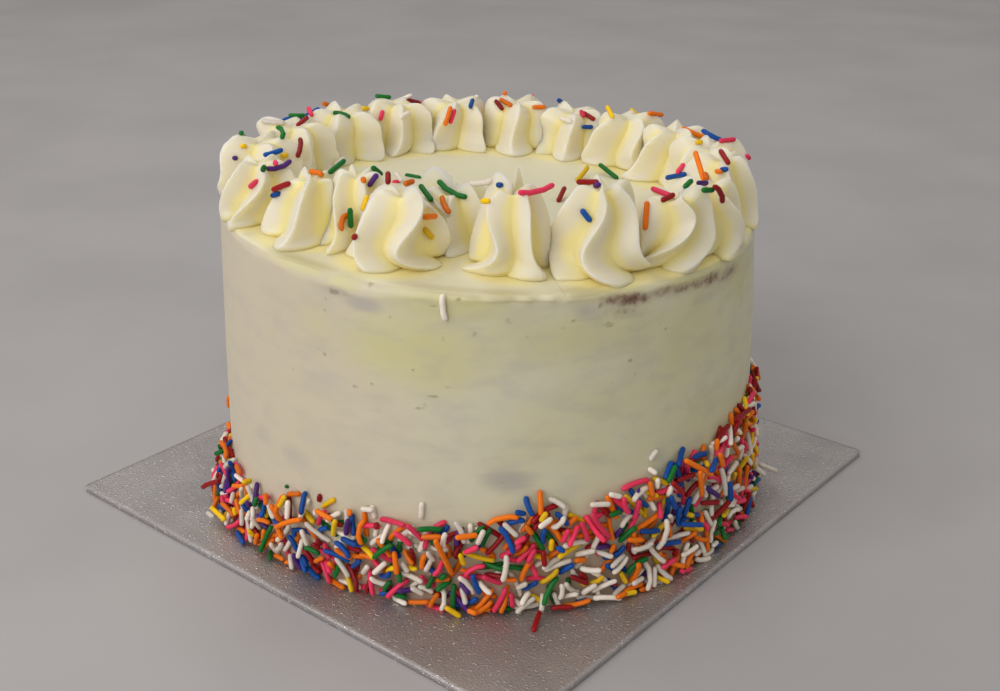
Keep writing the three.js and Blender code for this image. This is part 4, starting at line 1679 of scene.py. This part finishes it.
# Rods that the photo shows one by one: colour, the pixels of both ends, and how far the middle bows
# to the left of the way from the first end to the second, in pixels.
SEEN_ON_SWIRLS: tuple[SeenRod, ...] = (
    (G, 438, 180, 467, 197, -4), (W, 425, 197, 450, 216, 1), (V, 266, 168, 291, 160, -4),
    (O, 349, 214, 343, 231, -5), (G, 350, 208, 351, 228, 0), (Y, 368, 195, 362, 211, 0),
    (G, 345, 160, 329, 173, 0), (O, 309, 172, 323, 176, 2), (G, 372, 167, 382, 175, 0),
    (V, 378, 174, 369, 187, -1), (R, 388, 172, 388, 184, 0), (P, 392, 182, 400, 182, 0),
    (O, 404, 184, 414, 181, 0), (G, 405, 175, 421, 178, 0), (G, 420, 185, 432, 201, 0),
    (O, 442, 196, 450, 213, -2), (O, 423, 217, 437, 216, 0), (Y, 424, 228, 433, 239, 0),
    (Y, 481, 201, 490, 201, 0), (B, 496, 185, 503, 185, 0), (P, 518, 192, 554, 184, -4),
    (R, 565, 187, 558, 202, 0), (B, 581, 209, 591, 222, 0), (Y, 588, 166, 576, 181, 1),
    (R, 577, 182, 598, 182, 0), (V, 593, 186, 601, 184, 0), (G, 599, 164, 618, 179, 0),
    (O, 647, 201, 645, 230, 0), (P, 651, 188, 674, 197, 0), (R, 661, 201, 675, 194, 0),
    (B, 666, 178, 686, 174, 0), (P, 677, 173, 684, 164, 0), (G, 684, 188, 692, 180, 0),
    (O, 695, 151, 704, 180, 0), (O, 704, 172, 708, 180, 0), (B, 720, 170, 728, 169, 0),
    (O, 715, 171, 722, 172, 0), (V, 697, 183, 708, 183, 0), (G, 702, 190, 714, 190, 0),
    (R, 713, 186, 722, 203, 4), (R, 720, 150, 729, 164, 0), (Y, 695, 142, 703, 142, 0),
    (G, 714, 129, 715, 139, 0), (P, 746, 155, 750, 159, 0), (O, 648, 113, 663, 115, 0),
    (Y, 607, 106, 613, 118, 0), (B, 582, 127, 593, 127, 0), (R, 582, 112, 595, 120, 0),
    (P, 585, 117, 580, 110, 0), (O, 532, 107, 546, 107, 0), (O, 451, 106, 445, 126, 0),
    (P, 455, 109, 450, 124, 0), (B, 473, 99, 470, 108, 0), (R, 495, 100, 503, 110, 0),
    (O, 500, 99, 512, 106, 0), (O, 477, 95, 485, 103, 0), (R, 407, 100, 420, 103, 0),
    (P, 383, 110, 380, 121, 0), (G, 333, 113, 350, 118, 2), (Y, 362, 108, 369, 109, 0),
    (P, 308, 107, 312, 116, 0), (R, 297, 126, 308, 117, 0), (G, 276, 127, 281, 139, 5),
    (R, 300, 138, 297, 157, 2), (B, 263, 155, 283, 149, -1), (Y, 282, 157, 288, 154, 0),
    (G, 265, 165, 262, 172, 0), (P, 275, 161, 276, 165, 0), (P, 249, 188, 258, 180, 0),
    (R, 272, 190, 290, 183, 0), (B, 271, 196, 280, 193, 0), (Y, 240, 146, 247, 146, 0),
    (V, 232, 158, 238, 158, 0), (O, 362, 177, 365, 183, 0), (R, 353, 239, 356, 235, 0),
    (W, 470, 183, 492, 180, -2), (W, 334, 165, 345, 158, 0), (W, 395, 172, 402, 181, 0),
    (W, 560, 118, 572, 122, 0), (W, 400, 118, 410, 112, 0),
)
SEEN_ON_WALL: tuple[SeenRod, ...] = (
    (W, 443, 294, 446, 321, -2), (O, 229, 396, 229, 407, 0), (P, 380, 519, 405, 526, 1),
    (P, 406, 525, 423, 541, 1), (P, 394, 533, 411, 546, 1), (W, 422, 502, 421, 519, 0),
    (G, 417, 530, 442, 530, 1),
    (O, 421, 537, 442, 537, 0), (W, 454, 522, 464, 544, 3), (O, 455, 538, 478, 535, 0),
    (W, 446, 533, 444, 549, -2), (O, 435, 540, 452, 574, 0), (W, 484, 530, 477, 545, 0),
    (Y, 460, 554, 464, 565, 0), (P, 464, 553, 478, 547, 0), (O, 487, 525, 519, 518, 4),
    (B, 526, 496, 534, 516, -2), (B, 515, 512, 526, 514, 0), (O, 540, 490, 541, 516, 0),
    (Y, 547, 512, 540, 522, 0), (W, 548, 499, 566, 509, 2), (W, 564, 516, 551, 527, 4),
    (W, 552, 518, 539, 528, 0), (B, 499, 527, 513, 554, 3), (W, 503, 523, 518, 537, 0),
    (O, 525, 525, 533, 535, 0), (P, 515, 544, 526, 537, 0), (B, 546, 530, 545, 543, -3),
    (Y, 552, 539, 551, 551, 0), (B, 556, 547, 565, 552, 0), (W, 506, 555, 502, 582, 2),
    (R, 543, 550, 545, 567, 0), (P, 536, 549, 528, 564, -1), (P, 569, 529, 562, 543, 0),
    (P, 578, 525, 569, 547, 0), (P, 581, 522, 588, 542, 1), (P, 585, 515, 605, 542, -1),
    (P, 592, 513, 610, 537, -2), (W, 590, 505, 611, 504, 0), (W, 609, 494, 622, 497, 0),
    (G, 609, 516, 622, 511, 0), (P, 622, 490, 650, 480, 2), (V, 637, 490, 640, 491, 0),
    (P, 625, 497, 630, 514, -3), (P, 640, 500, 634, 520, 0), (O, 650, 481, 653, 498, 0),
    (W, 658, 478, 657, 489, 0), (W, 648, 468, 657, 474, 0), (W, 650, 461, 658, 450, 1),
    (B, 672, 461, 665, 479, 0), (B, 684, 447, 679, 467, -1), (G, 676, 465, 668, 483, 0),
    (O, 685, 460, 713, 475, 0), (O, 700, 471, 702, 496, 0), (R, 677, 481, 695, 474, 0),
    (W, 668, 496, 672, 486, 0), (B, 671, 496, 676, 509, 0), (R, 672, 482, 683, 493, 0),
    (V, 707, 488, 720, 497, 0), (W, 721, 468, 726, 496, 1), (B, 730, 481, 731, 502, 0),
    (Y, 706, 461, 708, 467, 0), (B, 717, 458, 711, 472, 0), (O, 720, 453, 723, 467, 0),
    (B, 681, 524, 703, 525, 0), (W, 666, 519, 657, 549, 5), (W, 632, 549, 653, 542, -3),
    (O, 627, 540, 644, 540, 0), (B, 640, 531, 660, 530, -1), (G, 287, 485, 287, 488, 0),
    (O, 287, 494, 301, 494, 0), (Y, 285, 496, 279, 507, 0), (B, 306, 491, 301, 515, -1),
    (R, 320, 494, 319, 502, 0), (Y, 335, 499, 322, 507, 0), (W, 288, 500, 287, 520, 0),
    (O, 265, 493, 266, 505, 0), (G, 257, 497, 254, 507, 0), (B, 264, 510, 260, 518, 0),
    (O, 275, 528, 301, 520, 2), (O, 349, 509, 350, 516, 0), (V, 348, 519, 346, 535, 0),
    (O, 366, 519, 362, 545, -6), (O, 315, 510, 332, 520, 0), (Y, 335, 520, 333, 536, 0),
    (W, 372, 505, 375, 519, 0), (W, 361, 509, 373, 510, 0), (R, 377, 522, 376, 530, 0),
    (B, 334, 542, 349, 559, 3), (B, 341, 538, 357, 546, 0), (G, 373, 559, 393, 545, 2),
    (W, 373, 574, 386, 562, 0), (O, 394, 551, 397, 575, 0), (O, 219, 441, 225, 459, 4),
    (G, 215, 454, 223, 451, 0), (O, 236, 465, 240, 474, 0), (Y, 242, 483, 252, 480, 0),
)
SEEN_ON_CARD: tuple[SeenRod, ...] = (
    (R, 540, 611, 533, 632, 0), (Y, 445, 607, 461, 617, 0), (O, 467, 610, 477, 614, 0),
    (O, 616, 598, 627, 593, 0), (R, 202, 488, 219, 482, 2), (Y, 211, 507, 225, 520, 0),
    (W, 207, 512, 214, 517, 0), (W, 759, 464, 777, 471, 0), (W, 756, 468, 765, 475, 0),
)


@dataclass
class SprinkleScatter:
    """Lays the sugar rods on the cake: those that the photo shows, and the crowd round the foot.

    Lengths and distances are in millimetres.
    """

    cake: IcedCake
    studio: Studio
    skins: list[Skin]
    pile: RodPile = field(default_factory=RodPile)
    # How many rods are tried at the foot and on the card, and laid on the swirls at the back.
    crowd: int = 26000
    fallen: int = 160
    behind: int = 26
    seed: int = 11
    # Lengths of rods: the usual one, its spread, the least and the greatest.
    crowd_lengths: tuple[float, float, float, float] = (6.9, 1.7, 3.0, 11.5)
    fallen_lengths: tuple[float, float, float, float] = (7.0, 1.4, 3.5, 10.5)
    thickness: Pair = (0.9, 1.06)
    # How far a rod's middle line lies from what it rests on, in radii: on cream and on the wall.
    cream_press: float = 0.55
    wall_press: float = 0.45
    # How far out of the wall a rod may end up where the crowd is thin, and how high over the card.
    thin_crowd: float = 2.5
    highest_fallen: float = 4.0
    # A rod sets out this far from the wall or over the card, and one that the photo shows this
    # far before the nearest surface, behind which no part of it comes to lie further than this.
    away: float = 14.0
    seen_away: float = 12.0
    seen_sinks: float = 6.0
    # How high the crowd climbs the wall: angle in degrees, height in millimetres, share of depth.
    crowd_line: tuple[tuple[float, float, float], ...] = (
        (-180, 14, 0.9), (-168, 18, 1.0), (-158, 21, 1.0), (-148, 19, 0.7), (-138, 22, 0.2),
        (-128, 25, 0.0), (-118, 26, 0.0), (-106, 26, 0.05), (-98, 26, 0.2), (-89, 28, 0.2),
        (-80, 33, 0.2), (-72, 30, 0.3), (-60, 35, 0.25), (-50, 39, 0.15), (-38, 42, 0.1),
        (-30, 44, 0.2), (-20, 46, 0.2), (-5, 44, 0.2), (15, 36, 0.3), (35, 30, 0.4),
        (60, 27, 0.3), (90, 25, 0.2), (120, 24, 0.2), (150, 20, 0.5), (180, 14, 0.9),
    )

    def __post_init__(self) -> None:
        """Builds the search tree of the surfaces that rods lie on, in the cake's frame."""
        points, faces, start = [], [], 0
        for skin_points, sides, fans in self.skins:
            points += skin_points.tolist()
            faces += (sides + start).tolist() + (fans + start).tolist()
            start += len(skin_points)
        self.tree = BVHTree.FromPolygons(points, faces)
        self.random = np.random.default_rng(self.seed)

    def _colour(self) -> Sugar:
        """Draws a colour, as often as it comes up in the photo."""
        shares = np.array([colour.value.share for colour in Sugar])
        return list(Sugar)[int(self.random.choice(len(shares), p=shares / shares.sum()))]

    def _length(self, usual: float, spread: float, least: float, greatest: float) -> float:
        """Draws a rod's length, bell-shaped about the usual one within the two limits."""
        return float(np.clip(self.random.normal(usual, spread), least, greatest))

    def _line(self, angle: float, column: int) -> float:
        """Reads the crowd line at an angle: its height in column 1, its share of depth in 2."""
        line = np.array(self.crowd_line)
        return float(np.interp(math.degrees(angle), line[:, 0], line[:, column]))

    def _keep(self, rod: np.ndarray) -> None:
        """Adds a rod to the pile, in a colour and a thickness that are drawn."""
        self.pile.add(self._colour(), rod, float(self.random.uniform(*self.thickness)))

    def _travel(self, starts: np.ndarray, ways: np.ndarray) -> np.ndarray:
        """Returns how far each point goes along its way before it meets a surface."""
        hits = [self.tree.ray_cast(Vector(p), Vector(w)) for p, w in zip(starts, ways)]
        return np.array([hit[3] if hit[3] is not None else np.inf for hit in hits])

    def lay_seen(self, rows: tuple[SeenRod, ...]) -> None:
        """Lays rods where the photo shows them.

        Each rod's arc of pixels is sent out from the camera until it rests, as a straight rod
        does, on the two highest places under it.

        Args:
            rows: Colour, the two end pixels and the bow in pixels.
        """
        share = np.linspace(-1, 1, 9)
        for colour, x0, y0, x1, y1, bow in rows:
            run = np.array([x1 - x0, y1 - y0], float)
            left = np.array([run[1], -run[0]]) / max(1e-6, np.linalg.norm(run))
            spots = np.array([x0, y0]) + (share[:, None] + 1) / 2 * run
            spots = spots + (1 - share[:, None] ** 2) * bow * left
            rays = [self.studio.ray(*spot) for spot in spots]
            start, ways = rays[0][0], np.array([ray[1] for ray in rays])
            room = self._travel(np.repeat(start[None], len(ways), axis=0), ways)
            if not np.isfinite(room).any():
                log.info("no surface under a %s rod at %d, %d", colour.name, x0, y0)
                continue
            nearest = room[np.isfinite(room)].min()
            room = np.minimum(room, nearest + self.seen_sinks) - self.cream_press * self.pile.radius
            near = start + (nearest - self.seen_away) * ways
            room = np.minimum(room, self.pile.room(near, ways, 30.0) + nearest - self.seen_away)
            half = 0.5 * np.linalg.norm(run) * nearest / self.studio.depth
            travel = self.pile.rested(share, room, max(1.0, 1.1 * half))
            arc = start + travel[:, None] * ways
            middle = (arc[0] + arc[-1]) / 2
            self.pile.add(colour, np.stack([middle, (arc[-1] - arc[0]) / 2, arc[4] - middle]))

    def _arc(self, middle: np.ndarray, out: np.ndarray, heading: float, length: float) -> np.ndarray:
        """Makes a rod that lies flat against something.

        Args:
            middle: Its middle.
            out: The unit way out of what it lies against.
            heading: How far it is turned from level, in radians.
            length: Its length.

        Returns:
            Its middle, half and bend. The bend is drawn, by a tenth of the length.
        """
        level = np.array([-out[1], out[0], 0.0]) if abs(out[2]) < 0.9 else np.array([1.0, 0.0, 0.0])
        level = level / np.linalg.norm(level)
        rise = np.cross(out, level)
        along = math.cos(heading) * level + math.sin(heading) * rise
        bow = np.cross(out, along) * self.random.normal(0.0, 0.1) * length
        return np.stack([middle, along * length / 2, bow])

    def _settled(self, rod: np.ndarray, way: np.ndarray, room: np.ndarray) -> np.ndarray:
        """Moves a rod until it rests on what stops it.

        Args:
            rod: The rod.
            way: The unit way that it moves.
            room: How far each of its marks may go before it meets a surface.

        Returns:
            The rod, moved and tilted as far as the surface and the pile let it.
        """
        marks = self.pile.marks
        room = np.minimum(room, self.pile.room(self.pile.arc(rod, marks), way, 24.0))
        travel = self.pile.rested(marks, room, 1.6)
        tilt = (travel[-1] - travel[0]) / (marks[-1] - marks[0])
        return rod + np.stack([travel.mean() * way, tilt * way, 0 * way])

    def crowd_foot(self) -> None:
        """Presses rods against the wall's foot, densest low down, as deep as the photo shows.

        Every fifth rod lies nearly level on the card. A rod that would end up further out than the
        crowd is deep there is left out. The crowd is deepest low down: its depth falls by the
        height's share of the crowd line and by the exponential of the height.
        """
        pile, cake = self.pile, self.cake
        for i in range(self.crowd):
            angle = 2 * math.pi * ((i * GOLDEN) % 1.0) - math.pi
            share = self.random.random() ** 1.3
            length = self._length(*self.crowd_lengths)
            heading = self.random.uniform(0, math.pi)
            if i % 5 == 0:
                share, heading = 0.03, self.random.normal(0.0, 0.3)
            low = 0.5 * length * abs(math.sin(heading)) + 0.85 * pile.radius
            z = max(share * self._line(angle, 1), low)
            out = np.array([math.cos(angle), math.sin(angle), 0.0])
            wall = cake.wall_radius(np.array(angle), np.array(z))
            middle = out * (wall + self.away) + np.array([0, 0, z])
            rod = self._arc(middle, out, heading, length)
            beads = pile.arc(rod, pile.marks)
            x, y, high = beads.T
            surface = cake.wall_radius(np.arctan2(y, x), high) + cake.foot_relief(high)
            surface = surface + self.wall_press * pile.radius
            across = beads @ np.array([-out[1], out[0], 0.0])
            rod = self._settled(rod, -out, beads @ out - np.sqrt(surface**2 - across**2))
            deepest = 1.9 - 1.9 * share + 3.0 * math.exp(-z / 8.0)
            if np.hypot(*rod[0, :2]) - wall > self.thin_crowd + self._line(angle, 2) * deepest:
                continue
            rod[0] = cake.leaning(rod[0])
            self._keep(rod)

    def drop_on_card(self) -> None:
        """Drops rods on the card close to the foot, most of them along it.

        None falls where the crowd is thin, none touches the crowd's foot, and one that comes to
        rest high on others is left out.
        """
        pile, cake = self.pile, self.cake
        up, down = np.array([0.0, 0.0, 1.0]), np.array([0.0, 0.0, -1.0])
        for i in range(self.fallen):
            angle = 2 * math.pi * ((i * GOLDEN + 0.3) % 1.0) - math.pi
            depth = self._line(angle, 2)
            if depth < 0.15:
                continue
            beyond = 2.4 + 2.5 * depth * self.random.random()
            length = self._length(*self.fallen_lengths)
            out = np.array([math.cos(angle), math.sin(angle), 0.0])
            start = float(cake.wall_radius(np.array(angle), np.array(1.0))) + beyond
            heading = angle + math.pi / 2 + self.random.normal(0.0, 0.6)
            rod = self._arc(out * start + self.away * up, up, heading, length)
            x, y, high = pile.arc(rod, pile.marks).T
            clear = np.hypot(x, y) - cake.wall_radius(np.arctan2(y, x), 0 * x + 1.0)
            if clear.min() < 1.7 + 0.7:
                continue
            rod = self._settled(rod, down, high + 0.3 - 0.9 * pile.radius)
            if rod[0, 2] > self.highest_fallen:
                continue
            self._keep(rod)

    def scatter_behind(self) -> None:
        """Drops rods on the outer slopes of the swirls at the back and sides."""
        pile = self.pile
        up, down = np.array([0.0, 0.0, 1.0]), np.array([0.0, 0.0, -1.0])
        for i in range(self.behind):
            angle = math.radians(8 + 172 * ((i * GOLDEN) % 1.0))
            out = np.array([math.cos(angle), math.sin(angle), 0.0])
            middle = out * self.random.uniform(78.0, 87.0) + 150.0 * up
            heading = self.random.uniform(0, math.pi)
            rod = self._arc(middle, up, heading, self.random.uniform(5.5, 9.0))
            beads = pile.arc(rod, pile.marks)
            room = self._travel(beads, np.repeat(down[None], len(beads), axis=0))
            rod = self._settled(rod, down, room - self.cream_press * pile.radius)
            pile.add(self._colour(), rod)

    def lay(self) -> None:
        """Lays every rod, those at the foot first."""
        self.crowd_foot()
        self.drop_on_card()
        self.lay_seen(SEEN_ON_WALL)
        self.lay_seen(SEEN_ON_CARD)
        self.lay_seen(SEEN_ON_SWIRLS)
        self.scatter_behind()


def main() -> None:
    """Builds the cake, its swirls, its card, the sprinkles and the studio, in that order."""
    logging.basicConfig(level=logging.INFO, format="%(message)s")
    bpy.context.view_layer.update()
    cake, ring, card, studio = IcedCake(), SwirlRing(), FoilCard(), Studio()
    coat, coat_numbers = cake.skin(ring.feet())
    cake.build(coat, coat_numbers)
    log.info("icing: %d points", len(coat[0]))
    swirls = ring.skins(cake)
    ring.build(swirls)
    log.info("swirls: %d", len(swirls))
    board = card.skin(CAKE_FRAME)
    card.build(board)
    log.info("card: %d points", len(board[0]))
    scatter = SprinkleScatter(cake, studio, [coat, board, *(skin for skin, _ in swirls)])
    scatter.lay()
    colours = scatter.pile.build()
    log.info("sprinkles: %d rods in %d colours", len(scatter.pile.rods), len(colours))
    studio.build()


if __name__ == "__main__":
    main()
